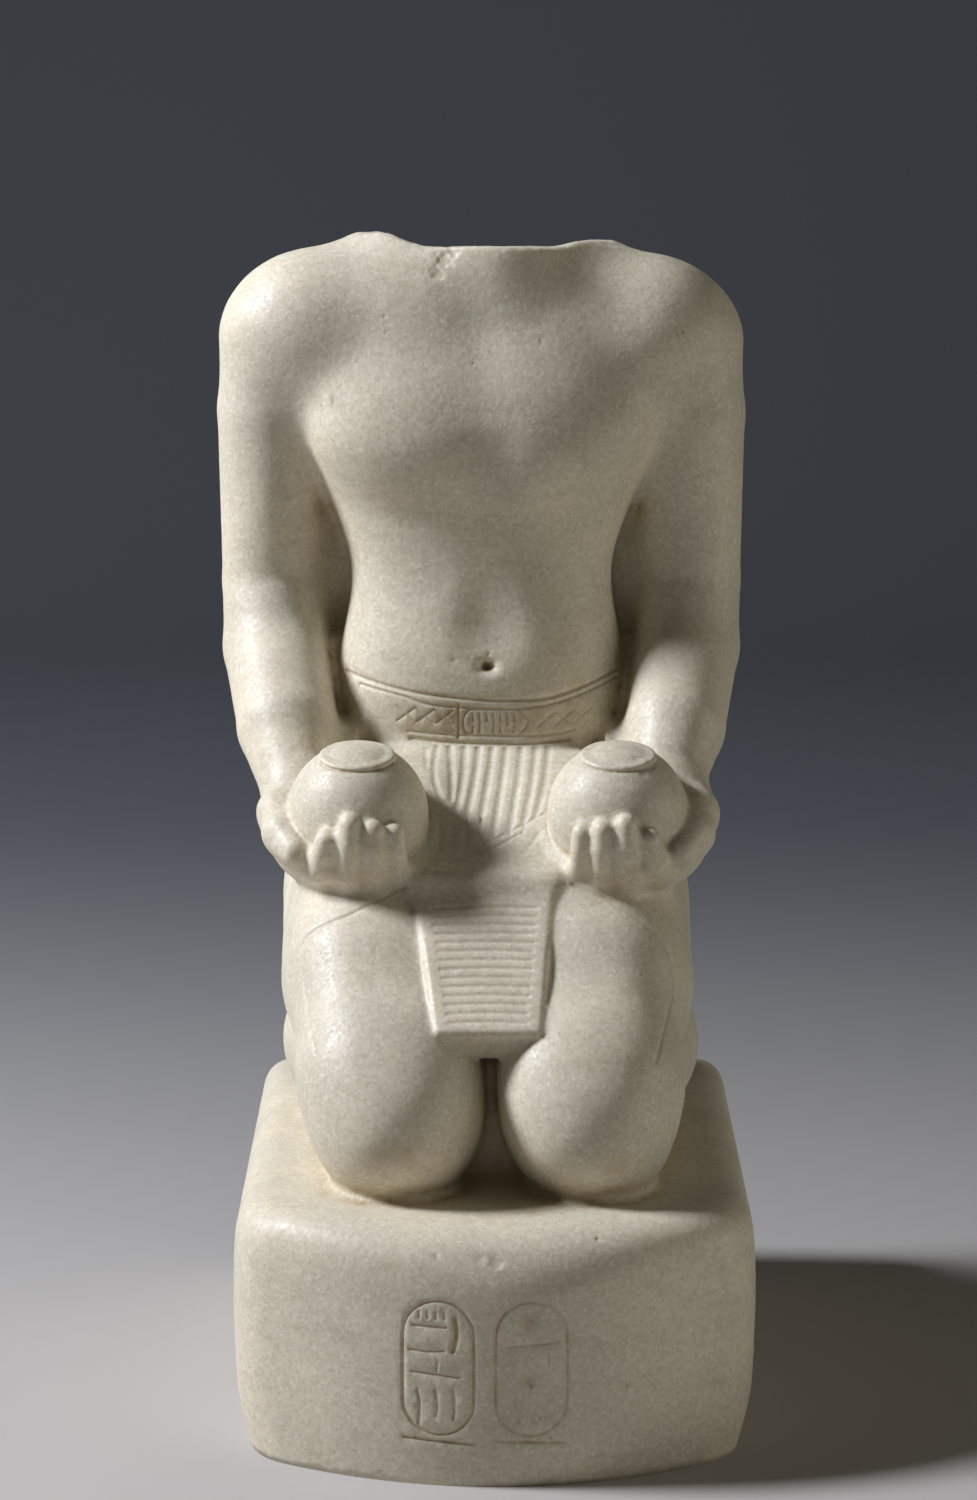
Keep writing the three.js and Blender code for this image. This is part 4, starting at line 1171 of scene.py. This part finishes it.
class STATUE_OT_stage(bpy.types.Operator):
    """Add the background paper, the lamps and the camera"""
    bl_idname = "statue.stage"
    bl_label = "Set Up Studio"
    bl_options = {"REGISTER", "UNDO"}

    def execute(self, context):
        settings = context.scene.statue_studio
        bpy.ops.object.select_all(action="DESELECT")
        bpy.ops.mesh.primitive_grid_add(x_subdivisions=2, y_subdivisions=96, size=1, location=(0, 0, 0))
        paper = context.object
        paper.name = "background_paper"
        flat, bent = PAPER_FAR - PAPER_NEAR, PAPER_BEND * math.pi / 2
        for vertex in paper.data.vertices:
            along = (vertex.co.y + 0.5) * (flat + bent + PAPER_TOP)
            turn = min(max((along - flat) / PAPER_BEND, 0.0), math.pi / 2)
            across = math.copysign(PAPER_HALF, vertex.co.x) if vertex.co.x else 0.0
            back = min(along, flat) + PAPER_NEAR + PAPER_BEND * math.sin(turn)
            rise = PAPER_BEND * (1 - math.cos(turn)) + max(along - flat - bent, 0.0)
            vertex.co = (across, back, rise)
        bpy.ops.object.shade_smooth()
        paper.data.materials.append(studio_paper())
        paper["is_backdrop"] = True

        add_lamp("key_lamp", (-1.06, -0.04, 1.01), LIT_POINT, 0.33, settings.key, "#f1f4ff")
        add_lamp("side_lamp", (1.05, -0.25, 0.32), LIT_POINT, 0.6, settings.side, "#fffaee")
        world = bpy.data.worlds.new("room")
        world.use_nodes = True
        background = world.node_tree.nodes["Background"]
        background.inputs["Color"].default_value = (*linear("#fffcf0"), 1)
        background.inputs["Strength"].default_value = settings.room
        context.scene.world = world
        context.scene.view_settings.view_transform = "Standard"

        bpy.ops.object.camera_add(location=CAMERA_PLACE, rotation=(math.radians(90 - CAMERA_TILT), 0, 0))
        camera = context.object
        camera.name = "camera"
        camera.data.sensor_fit = "VERTICAL"
        camera.data.sensor_height = CAMERA_HEIGHT
        camera.data.lens = CAMERA_LENS
        context.scene.camera = camera
        return {"FINISHED"}


class STATUE_PT_panel(bpy.types.Panel):
    bl_label = "Statue"
    bl_idname = "STATUE_PT_panel"
    bl_space_type = "VIEW_3D"
    bl_region_type = "UI"
    bl_category = "Statue"

    def draw(self, context):
        layout = self.layout
        for group, operator in (("statue_carving", "statue.carve"), ("statue_marble", None),
                                ("statue_studio", "statue.stage")):
            box = layout.box()
            settings = getattr(context.scene, group)
            for name in settings.bl_rna.properties.keys():
                if name not in {"rna_type", "name"}:
                    box.prop(settings, name)
            if operator:
                box.operator(operator)


CLASSES = (CarvingSettings, MarbleSettings, StudioSettings, STATUE_OT_carve, STATUE_OT_stage, STATUE_PT_panel)
GROUPS = {"statue_carving": CarvingSettings, "statue_marble": MarbleSettings, "statue_studio": StudioSettings}


def register():
    for one in CLASSES:
        bpy.utils.register_class(one)
    for name, group in GROUPS.items():
        setattr(bpy.types.Scene, name, PointerProperty(type=group))


def unregister():
    for name in GROUPS:
        delattr(bpy.types.Scene, name)
    for one in reversed(CLASSES):
        bpy.utils.unregister_class(one)


def main():
    register()
    bpy.ops.statue.carve()
    bpy.ops.statue.stage()
    boxes = {"cad": CAD_BOX, "visual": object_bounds()}
    {name: [list(corner) for corner in box] for name, box in boxes.items()}


if __name__ == "__main__":
    main()
